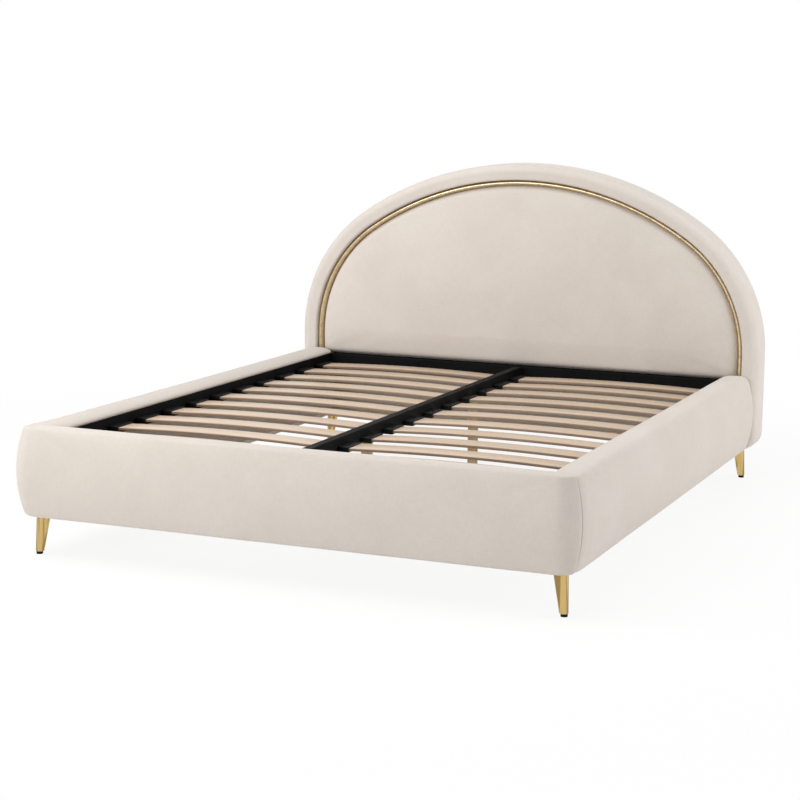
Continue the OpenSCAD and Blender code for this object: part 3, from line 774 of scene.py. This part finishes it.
def arch_turns(step):
    """Stations round the arch above its spring line, from right to left."""
    turn = max(2, int(SHOULDER_R * SHOULDER_ANGLE / step))
    top = max(2, int(CROWN_R * (math.pi - 2 * SHOULDER_ANGLE) / step))
    left = math.pi - SHOULDER_ANGLE
    way = [("right shoulder", a) for a in line(0, SHOULDER_ANGLE, turn)]
    way += [("crown", a) for a in line(SHOULDER_ANGLE, left, top)]
    return way + [("left shoulder", a) for a in line(left, math.pi, turn)]


def arch_way(low, step):
    """Stations round the arch from its right foot to its left foot."""
    up = max(2, int((SPRING - low) / step))
    way = [("right", z) for z in line(low, SPRING, up)] + arch_turns(step)
    return way + [("left", z) for z in np.linspace(SPRING, low, up + 1)]


def border_pad(name):
    """The roll round the headboard, which narrows round its lower corners."""
    points, _, around = border_section()
    # Radius of a lower corner, width and middle depth of the roll, and its lowest point
    corner, width, middle, low = 0.055, 0.064, 1.07, 0.1262
    feet = [
        ("right", PAD_LOW + corner - corner * math.sin(math.radians(turn)))
        for turn in (4, 10, 18, 27, 36, 46, 56, 66, 76, 86)
    ]
    way = feet[::-1] + arch_way(PAD_LOW + corner, 0.018) + [("left", z) for _, z in feet]
    rings, along, run, last = [], [], 0.0, None
    for kind, value in way:
        e, y = points[:, 0], points[:, 1]
        if kind in ("right", "left") and value < PAD_LOW + corner:
            fall = PAD_LOW + corner - value
            outer = corner - math.sqrt(corner**2 - min(fall, corner) ** 2)
            e = outer + e * (width - outer) / width
            # The lowest part is drawn in at the front and back to a round end
            lift = max(0.0, low + 0.016 - value) / 0.016
            inward = 0.012 * (1 - math.sqrt(max(0.0, 1 - lift**2)))
            front, back = inward * (middle - y) / 0.092, inward * (y - middle) / 0.068
            y = np.where(y < middle, y + front, y - back)
        x, z = on_arch(e, kind, value)
        ring = np.stack([x, y, z], 1)
        spot = ring[len(points) // 2]
        run += 0.0 if last is None else float(np.linalg.norm(spot - last))
        last = spot
        along.append(run)
        out = ring - ring.mean(0)
        out /= np.maximum(np.linalg.norm(out, axis=1), 1e-6)[:, None]
        rings.append(waver(ring, out, 0.0006, 11.0))
    return loft(name, rings, along, around)


def swell(run, reach):
    """Rise of a stuffed pad over its edge: steep at the seam, then ever flatter."""
    return (1 - np.exp(-run / reach)) ** 0.75


def inset_of(x, z):
    """How far a point of the headboard lies inside its silhouette."""
    across = np.abs(x)
    turned = np.arctan2(z - SPRING, across - SHOULDER_X)
    shoulder = SHOULDER_R - np.hypot(across - SHOULDER_X, z - SPRING)
    crown = CROWN_R - np.hypot(x, z - CROWN_Z)
    above = np.where(turned < SHOULDER_ANGLE, shoulder, crown)
    return np.where(z <= SPRING, HEAD_HALF - across, above)


PANEL_LOW = 0.3846
PANEL_START = TRIM_IN + TRIM_R + 0.0015
EDGE_RISE, CROWN_RISE = 0.0310, 0.0115  # of the panel over the plywood
PANEL_STEPS = (  # ways in from the panel's seam
    *(0.0, 0.0002, 0.0006, 0.0014, 0.0026, 0.0042, 0.0064),
    *(0.0092, 0.013, 0.018, 0.025, 0.035, 0.048, 0.072),
)


def panel_outline(inset):
    """The panel's outline, from its lower left corner."""
    half = HEAD_HALF - inset
    floor = PANEL_LOW + (inset - PANEL_START)
    ring = [(t * half, floor) for t in line(-1, 1, 80)]
    ring += [(half, z) for z in line(floor, SPRING, 5)]
    ring += [on_arch(inset, kind, a) for kind, a in arch_turns(0.020)]
    ring.append(on_arch(inset, "left shoulder", math.pi))
    ring += [(-half, z) for z in line(SPRING, floor, 5)[1:]]
    return np.array(ring)


def panel_pad(name):
    """The crowned inner panel, sewn down along the trim."""
    outlines = [panel_outline(PANEL_START + run) for run in PANEL_STEPS]
    inner = outlines[-1]
    middle = np.array([0.0, 0.66])
    outlines += [middle + (inner - middle) * share for share in np.linspace(0.965, 0.02, 34)]
    rings = []
    for i, ring in enumerate(outlines):
        x, z = ring[:, 0], ring[:, 1]
        edge = np.maximum(inset_of(x, z) - PANEL_START, 0.0)
        rise = EDGE_RISE * swell(edge, 0.0085) * swell(np.maximum(z - PANEL_LOW, 0.0), 0.007)
        lower = np.clip((z - PANEL_LOW) / 0.10, 0, 1) ** 0.7
        rise += CROWN_RISE * (1 - np.exp(-edge / 0.16)) * lower
        points = np.stack([x, Y_PLY - rise, z], 1)
        if i > 9:
            points = waver(points, np.tile([0, -1.0, 0], (len(x), 1)), 0.0010, 17.0)
        rings.append(points)
    size = len(rings[0])
    piece = loft(name, rings, np.arange(len(rings)) * 0.02, np.arange(size + 1) * 0.02)
    lay_flat(piece)
    return piece


# What the boards and seams hold of each pad


def held_rail(co):
    across = co.x < SPACE_HALF + 0.060 or co.z < PAD_LOW + 0.010
    return across or co.y > PAD_END - 0.04 or co.y < Y_IN


def held_foot(co):
    return Y_IN - co.y < 0.060 or co.z < PAD_LOW + 0.010 or abs(co.x) > SPACE_HALF


def held_border(co):
    return co.y > 1.085 or co.z < 0.20 or float(inset_of(co.x, co.z)) > 0.044


def held_panel(co):
    return co.y > Y_PLY - 0.006


CLOTH = {  # settings of a tight velvet
    "vertex_group_mass": "held",
    "quality": 4,
    "mass": 0.4,
    "tension_stiffness": 60,
    "compression_stiffness": 60,
    "shear_stiffness": 30,
    "bending_stiffness": 6,
    "use_pressure": True,
    "uniform_pressure_force": 4.0,
}
FRAMES = 16


def drawn_in(piece, held, slack):
    """Draws a pad in by its slack away from what holds it, and makes it cloth."""
    points = piece.data.vertices
    group = piece.vertex_groups.new(name="held")
    group.add([v.index for v in points if held(v.co)], 1.0, "REPLACE")
    free = [v for v in points if not v.groups]
    fixed = kdtree.KDTree(len(points) - len(free))
    for v in points:
        if v.groups:
            fixed.insert(v.co, v.index)
    fixed.balance()
    drawn = [(v, v.co - v.normal * slack * min(1.0, fixed.find(v.co)[2] / 0.05)) for v in free]
    for v, spot in drawn:
        v.co = spot
    cloth = piece.modifiers.new("cloth", "CLOTH")
    for setting, value in CLOTH.items():
        setattr(cloth.settings, setting, value)
    cloth.settings.effector_weights.gravity = 0
    cloth.collision_settings.use_collision = False
    cloth.point_cache.frame_start = 1
    cloth.point_cache.frame_end = FRAMES


def points_of(mesh):
    co = np.zeros(len(mesh.vertices) * 3)
    mesh.vertices.foreach_get("co", co)
    return co.reshape(-1, 3)


def plump(pads):
    """Lets cloth under pressure fill the pads between their seams, each point up to a cap."""
    for piece, held, slack, _ in pads:
        drawn_in(piece, held, slack)
    for number in range(1, FRAMES + 1):
        bpy.context.scene.frame_set(number)
    graph = bpy.context.evaluated_depsgraph_get()
    for piece, _, _, cap in pads:
        filled = piece.evaluated_get(graph)
        before = points_of(piece.data)
        move = points_of(filled.to_mesh()) - before
        filled.to_mesh_clear()
        size = np.linalg.norm(move, axis=1)
        move *= (cap * np.tanh(size / cap) / np.maximum(size, 1e-9))[:, None]
        piece.modifiers.remove(piece.modifiers["cloth"])
        piece.vertex_groups.remove(piece.vertex_groups["held"])
        piece.data.vertices.foreach_set("co", (before + move).ravel())
        piece.data.update()
    bpy.context.scene.frame_set(1)


right_pad = rail_pad("velvet_rail_right")
foot = foot_pad("velvet_foot")
border = border_pad("velvet_border")
panel = panel_pad("velvet_panel")
plump([  # pad, what is held, how far it starts drawn in, and how far it may move
    (right_pad, held_rail, 0.0010, 0.0020),
    (foot, held_foot, 0.0010, 0.0020),
    (border, held_border, 0.0015, 0.0030),
    (panel, held_panel, 0.0010, 0.0014),
])
left_pad = copy_to(right_pad, "velvet_rail_left", MIRROR)

PADS = (  # with the slot, the node that it stands for, and a finish where that isn't its slot's
    (right_pad, "velvet_rails", "rail_pad_right", None),
    (left_pad, "velvet_rails", "rail_pad_left", VELVET_LEFT_PAINTED_SHADE),
    (foot, "velvet_foot", "footboard_pad", None),
    (border, "velvet_border", "headboard_border", None),
    (panel, "velvet_panel", "headboard_panel", None),
)
for pad, slot, solid, finish in PADS:
    refine = pad.modifiers.new("smooth", "SUBSURF")
    refine.levels = refine.render_levels = 1
    place(pad, slot, solid, finish=finish)


# ---- Trim ----


def trim_moulding():
    """Half-round bar: a half disc drawn up the side, turned over the arch and down again."""
    deselect()
    bpy.ops.mesh.primitive_circle_add(
        vertices=32,
        radius=TRIM_R,
        fill_type="NGON",
        location=(HEAD_HALF - TRIM_IN, Y_PLY, TRIM_LOW),
    )
    bpy.context.active_object.scale = TRIM_STRETCH
    piece = named("trim_moulding")
    edit(piece, "VERT", "SELECT")
    bpy.ops.mesh.bisect(
        plane_co=(0, Y_PLY, 0), plane_no=(0, 1, 0), use_fill=False, clear_outer=True
    )
    bpy.ops.mesh.select_mode(type="FACE")
    bpy.ops.mesh.select_all(action="SELECT")
    draw_out((0, 0, SPRING - TRIM_LOW))
    turns = [
        ((SHOULDER_X, SPRING), SHOULDER_ANGLE, 36),
        ((0, CROWN_Z), math.pi - 2 * SHOULDER_ANGLE, 84),
        ((-SHOULDER_X, SPRING), SHOULDER_ANGLE, 36),
    ]
    for (x, z), angle, steps in turns:
        bpy.ops.mesh.spin(
            steps=steps, dupli=False, angle=angle, center=(x, Y_PLY, z), axis=(0, 1, 0)
        )
    draw_out((0, 0, TRIM_LOW - SPRING))
    outward(piece)
    smooth(piece, 35)
    return piece


place(trim_moulding(), "brass", "headboard_trim", finish=BRASS_TRIM)


# ---- Slats and their holders ----


def slat_board():
    """One right-hand slat about y = 0: an end turned into a long shallow arc."""
    half = (SLAT_B - SLAT_A) / 2
    middle = (SLAT_A + SLAT_B) / 2
    radius = (half**2 + SLAT_RISE**2) / (2 * SLAT_RISE)
    angle = math.asin(half / radius)
    centre = (middle, 0, SLAT_LOW + SLAT_RISE - radius)
    mid_r = radius + SLAT_T / 2
    deselect()
    bpy.ops.mesh.primitive_plane_add(
        size=1,
        location=(middle - mid_r * math.sin(angle), 0, centre[2] + mid_r * math.cos(angle)),
        rotation=(0, math.pi / 2 - angle, 0),
    )
    bpy.context.active_object.scale = (SLAT_T, SLAT_W, 1)
    piece = named("slat")
    edit(piece, "FACE", "SELECT")
    bpy.ops.mesh.spin(steps=28, dupli=False, angle=-2 * angle, center=centre, axis=(0, 1, 0))
    outward(piece)
    pick_edges(piece, lambda a, b: abs(a.y - b.y) < 1e-5 and abs(a.x - b.x) > 0.01)
    bpy.ops.mesh.bevel(offset=0.0022, segments=3, affect="EDGES")
    smooth(piece, 40)
    # For the finish: the height within the plies, and which faces are cut edges, which get ply
    # lines and painted shade
    ply = piece.data.attributes.new("ply", "FLOAT", "POINT")
    edge = piece.data.attributes.new("edge", "FLOAT", "CORNER")
    for v in piece.data.vertices:
        distance = math.hypot(v.co.x - centre[0], v.co.z - centre[2])
        ply.data[v.index].value = min(1.0, max(0.0, (distance - radius) / SLAT_T))
    for face in piece.data.polygons:
        is_cut = abs(face.normal.y) > 0.6 or abs(face.normal.x) > 0.7
        for loop in face.loop_indices:
            edge.data[loop].value = float(is_cut)
    return piece


first_slat = slat_board()
for number, y in enumerate(SLAT_Y, 1):
    for hand, turn in (("right", Matrix()), ("left", MIRROR)):
        slat = copy_to(first_slat, f"beech_slat_{hand}_{number}", shifted(0, y, 0) @ turn)
        place(slat, "beech", f"slat_{hand}_{number}")
bpy.data.objects.remove(first_slat)


def slat_cap():
    """A moulded holder about y = 0: closed at x = 0, with its mouth towards +x."""
    long, wide, high = 0.035, 0.1006, 0.01597
    wall, mouth_high, mouth_deep = 0.002, 0.01094, 0.024
    piece = block("cap", (0, -wide / 2, 0), (long, wide / 2, high))
    pick_edges(piece, lambda a, b: abs(a.x - b.x) < 1e-6 and abs(a.y - b.y) < 1e-6)
    bpy.ops.mesh.bevel(offset=0.004, segments=5, affect="EDGES")
    pick_faces(piece, lambda c, n: n.x > 0.99)
    bpy.ops.mesh.inset(thickness=wall)
    bpy.ops.transform.resize(value=(1, 1, mouth_high / (high - 2 * wall)))
    bpy.ops.transform.translate(value=(0, 0, -0.0003))
    draw_out((-mouth_deep, 0, 0))
    pick_faces(piece, lambda c, n: n.z > 0.99 and c.z > high - 1e-5)
    bpy.ops.mesh.inset(thickness=0.006)
    draw_out((0, 0, -0.0006))
    finish_edges(piece, 0.0007, 2, 50)
    return piece


first_cap = slat_cap()
rows = {"left": [], "right": [], "centre": []}
for y in SLAT_Y:
    outer = shifted(CAP_OUT, y, SEAT) @ MIRROR
    inner = shifted(CAP_IN, y, SEAT)
    rows["right"].append(copy_to(first_cap, "cap_r", outer))
    rows["left"].append(copy_to(first_cap, "cap_l", MIRROR @ outer))
    rows["centre"].append(copy_to(first_cap, "cap_c", inner))
    rows["centre"].append(copy_to(first_cap, "cap_c", MIRROR @ inner))
for row, caps in rows.items():
    place(joined(caps, f"caps_{row}"), "black_plastic", f"slat_holders_{row}")
bpy.data.objects.remove(first_cap)


# ---- Legs ----


def corner_leg(name, side, y, away):
    """A splayed cone, made too long and cut level at its foot and under the rail."""
    foot_end = Vector((side * LEG_X_FOOT, y + away * LEG_LEAN, 0.0))
    top_end = Vector((side * LEG_X_TOP, y, PAD_LOW))
    axis = (top_end - foot_end).normalized()
    slope = (LEG_R_TOP - LEG_R_FOOT) / (top_end - foot_end).length
    over = 0.02
    r_foot, r_top = LEG_R_FOOT - slope * over, LEG_R_TOP + slope * over
    piece = round_bar(name, foot_end - axis * over, top_end + axis * over, r_foot, r_top, 96)
    for height, up in ((0.009, -1), (0.134, 1)):
        edit(piece, "VERT", "SELECT")
        bpy.ops.mesh.bisect(
            plane_co=(0, 0, height), plane_no=(0, 0, up), use_fill=True, clear_outer=True
        )
    outward(piece)
    finish_edges(piece, 0.0008, 3, 50)
    return piece


def foot_cap(name, side, y, away):
    """A black cap under a leg, rounded where it meets the floor."""
    x, y = side * LEG_X_FOOT, y + away * LEG_LEAN
    piece = round_bar(name, (x, y, 0), (x, y, 0.0092), 0.0103, 0.0103, 48)
    pick_faces(piece, lambda c, n: n.z < -0.9)
    bpy.ops.mesh.inset(thickness=0.004)
    draw_out((0, 0, 0.0012))
    finish_edges(piece, 0.0012, 3, 50)
    return piece


caps = []
for spot, (side, y, away) in LEG_SPOTS.items():
    leg = corner_leg(f"tapered_leg_{spot}", side, y, away)
    place(leg, "brass", f"leg_{spot}", finish=BRASS_LEGS)
    caps.append(foot_cap(f"foot_cap_{spot}", side, y, away))
place(joined(caps, "foot_cap_set"), "black_plastic", "foot_caps")


# ---- Bolts, welds and levelling feet ----


def socket_bolt(name, reach):
    """A low-headed bolt along +z from its seat at z = 0, with a hexagon socket in its head."""
    head_r, head_h, shank_r = 0.007, 0.0035, 0.0038
    socket_r, socket_deep = 0.0026, 0.0022
    piece = round_bar(name, (0, 0, -head_h), (0, 0, 0), head_r, head_r, 24)
    pick_faces(piece, lambda c, n: n.z < -0.99)
    bpy.ops.mesh.inset(thickness=0.0040)
    mesh = bmesh.from_edit_mesh(piece.data)
    for v in {v for f in mesh.faces if f.select for v in f.verts}:
        turn = math.atan2(v.co.y, v.co.x) % (math.pi / 3) - math.pi / 6
        v.co.xy *= socket_r / math.cos(turn) / v.co.xy.length
    bmesh.update_edit_mesh(piece.data)
    draw_out((0, 0, socket_deep))
    pick_faces(piece, lambda c, n: n.z > 0.99 and c.z > -1e-5)
    bpy.ops.mesh.inset(thickness=head_r - shank_r)
    draw_out((0, 0, reach))
    finish_edges(piece, 0.0005, 2, 40)
    return piece


def bolt_set(name, spots):
    """Bolts as one piece, from the reach and the place of each."""
    patterns = {reach: socket_bolt("bolt", reach) for reach in sorted({r for r, _ in spots})}
    bolts = [copy_to(patterns[reach], "bolt", place_at) for reach, place_at in spots]
    for pattern in patterns.values():
        bpy.data.objects.remove(pattern)
    return joined(bolts, name)


def frame_bolt_spots():
    """Where the side angles, their corners and the headboard joint are bolted, on both sides."""
    spots = [
        (0.025, shifted(CAP_OUT, SLAT_Y[i] + SLAT_PITCH / 2, 0.350) @ quarter_turn("Y"))
        for i in (0, 3, 6, 9)
    ]
    spots += [(0.019, shifted(0.842, 1.025, z) @ quarter_turn("X", -1)) for z in (0.195, 0.265)]
    spots += [(0.011, shifted(0.7815, y, 0.339)) for y in (-0.998, 1.003)]
    return [(reach, side @ spot) for reach, spot in spots for side in (Matrix(), MIRROR)]


place(bolt_set("socket_bolts", frame_bolt_spots()), "black_steel", "frame_bolts")

bar_spots = [  # through the head bar and the foot bar
    (0.004, shifted(x, end * BAR_IN, BAR_HIGH) @ quarter_turn("X", -end))
    for x in (-0.422, 0.422)
    for end in (1, -1)
]
place(bolt_set("bar_bolts", bar_spots), "black_steel")


def weld_bead(start, end, drop):
    """One drop of weld repeated along a joint."""
    start, end = Vector(start), Vector(end)
    count = max(2, int((end - start).length / 0.0019))
    turn = (end - start).to_track_quat("X", "Z").to_matrix().to_4x4()
    beads = []
    for i in range(count + 1):
        spot = start.lerp(end, i / count)
        wobble = 1.0 + 0.16 * noise.noise(spot * 900)
        matrix = shifted(*spot) @ turn @ Matrix.Diagonal((0.9, wobble, wobble, 1))
        beads.append(copy_to(drop, "bead", matrix))
    return beads


def beam_welds():
    """Welds between the centre beam and the bars that it meets."""
    deselect()
    bpy.ops.mesh.primitive_uv_sphere_add(segments=10, ring_count=6, radius=0.0021)
    drop = named("drop")
    for face in drop.data.polygons:
        face.use_smooth = True
    beads = []
    for end in (-1, 1):
        y = end * (BAR_IN - 0.0004)
        beads += weld_bead((-0.014, y, 0.3838), (0.014, y, 0.3838), drop)
        for x in (-0.0152, 0.0152):
            beads += weld_bead((x, y, 0.345), (x, y, 0.382), drop)
    bpy.data.objects.remove(drop)
    return joined(beads, "beam_welds")


place(beam_welds(), "black_steel")


STEM_PARTS = (  # bottom, top, radius, sides, and the rounding of the edges
    ("rod", 0.0033, 0.0703, 0.0044, 32, (0.0008, 2, 50)),
    ("plain", 0.0033, 0.0100, 0.0050, 32, (0.0006, 2, 50)),
    ("collar", 0.010, 0.015, 0.010, 6, (0.0005, 3, 40)),
)


def threaded_stem(name, y):
    """A levelling stem: rod, hexagon collar and rolled thread."""
    parts = []
    for part, low, high, radius, sides, edges in STEM_PARTS:
        parts.append(round_bar(part, (0, 0, low), (0, 0, high), radius, radius, sides))
        finish_edges(parts[-1], *edges)
    deselect()
    bpy.ops.mesh.primitive_circle_add(
        vertices=3,
        radius=0.0007,
        location=(0.0045, 0, 0.0165),
        rotation=(math.pi / 2, math.pi / 2, 0),
    )
    thread = named("thread")
    screw = thread.modifiers.new("turns", "SCREW")
    screw.axis = "Z"
    screw.angle = 2 * math.pi
    screw.screw_offset = 0.0015
    screw.iterations = 34
    screw.steps = screw.render_steps = 20
    take(thread)
    bpy.ops.object.modifier_apply(modifier=screw.name)
    edit(thread, "VERT", "SELECT")
    bpy.ops.mesh.remove_doubles(threshold=0.00001)
    bpy.ops.mesh.fill_holes(sides=3)
    outward(thread)
    stem = joined([*parts, thread], name)
    stem.data.transform(shifted(0, y, 0))
    return stem


def levelling_foot(name, y):
    """A moulded pad with a ribbed rim and a raised boss."""
    radius, high, boss_r = 0.0168, 0.008, 0.0106
    piece = round_bar(name, (0, y, 0), (0, y, high), radius, radius, 72)

    def is_rib(middle, normal):
        turn = math.degrees(math.atan2(middle.y - y, middle.x))
        return abs(normal.z) < 0.3 and int(turn // 5) % 2 == 0

    pick_faces(piece, is_rib)
    bpy.ops.mesh.extrude_faces_move(TRANSFORM_OT_shrink_fatten={"value": -0.0004})
    pick_faces(piece, lambda c, n: n.z > 0.99 and c.z > high - 0.0001)
    bpy.ops.mesh.inset(thickness=radius - boss_r)
    edit(piece, "VERT")
    mesh = bmesh.from_edit_mesh(piece.data)
    for v in mesh.verts:
        if v.co.z > high - 0.0001 and math.hypot(v.co.x, v.co.y - y) > 0.0145:
            v.co.z -= 0.0022
    bmesh.update_edit_mesh(piece.data)
    finish_edges(piece, 0.0004, 2, 40)
    return piece


for end, y in CENTRE_LEGS.items():
    stem = threaded_stem(f"threaded_stem_{end}", y)
    place(stem, "zinc", f"levelling_stem_{end}", body=f"stem_{end}")
    glide = levelling_foot(f"levelling_foot_{end}", y)
    place(glide, "black_plastic", f"levelling_pad_{end}", body=f"glide_{end}")


# ---- Linings ----


def stapled_cloth(name, corner, along, up, seed):
    """A flat cloth between its staples, from one corner along two edges."""
    corner, along, up = Vector(corner), Vector(along), Vector(up)
    across = max(2, int(along.length / 0.02))
    rows = max(2, int(up.length / 0.02))
    out = along.cross(up).normalized()
    shift = Vector((seed, 0, 0))
    points, faces, uvs = [], [], []
    for j in range(rows + 1):
        for i in range(across + 1):
            spot = corner + along * (i / across) + up * (j / rows)
            inside = min(i, across - i, 2) * min(j, rows - j, 2) / 4
            slack = 0.0007 * inside * (1 + noise.noise(spot * 9 + shift))
            points.append(spot + out * (0.0005 + slack))
    for j in range(rows):
        for i in range(across):
            a = j * (across + 1) + i
            faces.append((a, a + 1, a + across + 2, a + across + 1))
            for k in faces[-1]:
                row, column = divmod(k, across + 1)
                uvs.append((column / across * along.length, row / rows * up.length))
    return skin(name, points, faces, uvs)


LINING_LOW, LINING_TOP = 0.148, 0.3375
INSIDE_CLOTHS = {  # first corner, way along, and what the cloth is stapled to
    "right": ((0.8035, 1.027, LINING_LOW), (0, -2.041, 0), "rail_pad_right"),
    "left": ((-0.8035, -1.014, LINING_LOW), (0, 2.041, 0), "rail_pad_left"),
    "foot": ((0.799, -1.0175, LINING_LOW), (-1.598, 0, 0), "footboard_pad"),
    "head": ((-0.8035, 1.0275, LINING_LOW), (1.607, 0, 0), "headboard_board"),
}
lining_high = LINING_TOP - LINING_LOW
for seed, (side, (corner, along, behind)) in enumerate(INSIDE_CLOTHS.items()):
    cloth = stapled_cloth(f"inside_lining_{side}", corner, along, (0, 0, lining_high), seed)
    place(cloth, "lining", finish=INSIDE)


def back_outline(inset, low):
    """The headboard's outline, set in: its lower edge, then from the right foot over the arch."""
    half = HEAD_HALF - inset
    ring = [(x, low) for x in line(-half, half, 90)]
    ring += [on_arch(inset, kind, a) for kind, a in arch_way(low, 0.020)]
    return np.array(ring)[:-1]


BACK_LAYERS = (  # the back lining's rings of points, as shares of its rim
    *(1.0, 0.985, 0.96, 0.92, 0.86, 0.79, 0.71),
    *(0.62, 0.53, 0.44, 0.35, 0.26, 0.17, 0.09),
)


def back_lining(name):
    """The lining stretched over the headboard's back, a little slack inside its staples."""
    rim = back_outline(0.0375, 0.1395)
    middle = np.array([0.0, 0.62])
    depth = Y_BACK - 0.0012
    points = []
    for layer, share in enumerate(BACK_LAYERS):
        for x, z in middle + (rim - middle) * share:
            slack = 0.0011 * min(layer, 2) * noise.noise(Vector((x * 3.2, 3.0, z * 5)))
            points.append((x, depth + slack, z))
    points.append((middle[0], depth, middle[1]))
    size = len(rim)
    faces = []
    for layer in range(len(BACK_LAYERS) - 1):
        a, b = layer * size, (layer + 1) * size
        for j in range(size):
            k = (j + 1) % size
            faces.append((a + k, a + j, b + j, b + k))
    last = (len(BACK_LAYERS) - 1) * size
    faces += [(last + (j + 1) % size, last + j, len(points) - 1) for j in range(size)]
    cloth = skin(name, points, faces)
    lay_flat(cloth)
    x, z = rim[:, 0], rim[:, 1]
    area = 0.5 * abs(float(np.dot(x, np.roll(z, -1)) - np.dot(z, np.roll(x, -1))))
    return cloth, area


back_cloth, back_area = back_lining("back_lining")
place(back_cloth, "lining", "headboard_back_cover")


def staple_set():
    """Staples along the edge of the back lining."""
    half = Vector((0.0050, 0.00035, 0.00055))
    wire = block("staple", -half, half)
    finish_edges(wire, 0.0003, 1, 40)
    rim = back_outline(0.0455, 0.1480)
    closed = np.vstack([rim, rim[:1]])
    way = np.r_[0, np.cumsum(np.linalg.norm(np.diff(closed, axis=0), axis=1))]
    staples = []
    count = int(way[-1] / 0.052)
    for i in range(count):
        at = way[-1] * (i + 0.5) / count
        x, z = (np.interp(at, way, closed[:, k]) for k in (0, 1))
        nx, nz = (np.interp(min(at + 0.004, way[-1]), way, closed[:, k]) for k in (0, 1))
        lean = 0.10 * noise.noise(Vector((x * 40, 0, z * 40)))
        turn = Matrix.Rotation(-math.atan2(nz - z, nx - x) + lean, 4, "Y")
        staples.append(copy_to(wire, "staple", shifted(x, Y_BACK - 0.0002, z) @ turn))
    bpy.data.objects.remove(wire)
    return joined(staples, "staples")


place(staple_set(), "zinc")


# ---- Floor, light and camera ----


def stage_floor():
    """A white floor that fades into the background as the camera sees it."""
    deselect()
    bpy.ops.mesh.primitive_plane_add(size=40, location=(0, 0, 0))
    floor = named("studio_floor")
    material = bpy.data.materials.new("floor white")
    tree = Nodes(material, empty=True)
    matte = tree.node("ShaderNodeBsdfDiffuse", Color=(0.93, 0.93, 0.93, 1))
    glow = tree.node("ShaderNodeEmission", Strength=1.0)
    ray = tree.node("ShaderNodeLightPath").outputs
    coords = tree.node("ShaderNodeTexCoord").outputs
    away = tree.node("ShaderNodeVectorMath", Vector=coords["Object"])
    away.operation = "LENGTH"
    rise = tree.eased(away.outputs["Value"], 1.6, 3.4, 0.87, 1.0)
    seen = tree.math("MAXIMUM", ray["Is Camera Ray"], ray["Is Glossy Ray"])
    share = tree.math("MULTIPLY", seen, rise)
    tree.mixed(share, matte.outputs[0], glow.outputs[0], "ShaderNodeOutputMaterial")
    floor.data.materials.append(material)


def soft_lamp(name, place_at, towards, size, power):
    lamp = bpy.data.lights.new(name, "AREA")
    lamp.shape = "RECTANGLE"
    lamp.size, lamp.size_y = size
    lamp.energy = power
    holder = added(name, lamp)
    holder.location = place_at
    aim = Vector(towards) - Vector(place_at)
    holder.rotation_euler = aim.to_track_quat("-Z", "Y").to_euler()


def studio_world():
    """A soft fill light, seen as plain white by the camera and in what shines."""
    world = bpy.data.worlds.new("studio")
    bpy.context.scene.world = world
    tree = Nodes(world, empty=True)
    fill = tree.node("ShaderNodeBackground", Color=(1.0, 0.995, 0.99, 1), Strength=0.62)
    white = tree.node("ShaderNodeBackground", Color=(1, 1, 1, 1), Strength=1.0)
    ray = tree.node("ShaderNodeLightPath").outputs
    seen = tree.math("MAXIMUM", ray["Is Camera Ray"], ray["Is Transmission Ray"])
    seen = tree.math("MAXIMUM", seen, ray["Is Glossy Ray"])
    tree.mixed(seen, fill.outputs[0], white.outputs[0], "ShaderNodeOutputWorld")


def camera():
    """An ordinary camera at the photograph's viewpoint."""
    lens = bpy.data.cameras.new("camera")
    lens.lens = 88.22
    lens.sensor_width = 36
    lens.clip_end = 100
    eye = added("camera", lens)
    yaw, pitch, roll = 0.39497, 0.16145, 0.01201
    level = math.cos(pitch)
    ahead = Vector((-math.sin(yaw) * level, math.cos(yaw) * level, -math.sin(pitch)))
    right = Vector((math.cos(yaw), math.sin(yaw), 0))
    up = right.cross(ahead)
    side = right * math.cos(roll) + up * math.sin(roll)
    top = up * math.cos(roll) - right * math.sin(roll)
    turned = Matrix((side, top, -ahead)).transposed().to_4x4()
    eye.matrix_world = shifted(2.47195, -6.13716, 1.47166) @ turned
    bpy.context.scene.camera = eye


stage_floor()
studio_world()
soft_lamp("overhead", (-0.6, -0.6, 4.2), (0, 0, 0.3), (4.0, 4.0), 55)
soft_lamp("front", (-2.5, -6.4, 1.9), (0, 0.4, 0.5), (3.0, 2.4), 96)
soft_lamp("side", (5.2, 1.5, 1.7), (0.4, 0, 0.4), (2.6, 2.2), 93)
soft_lamp("headboard", (-1.6, -1.6, 2.2), (0, 1.0, 0.75), (1.6, 1.2), 29)
camera()
bpy.context.scene.view_settings.view_transform = "Standard"
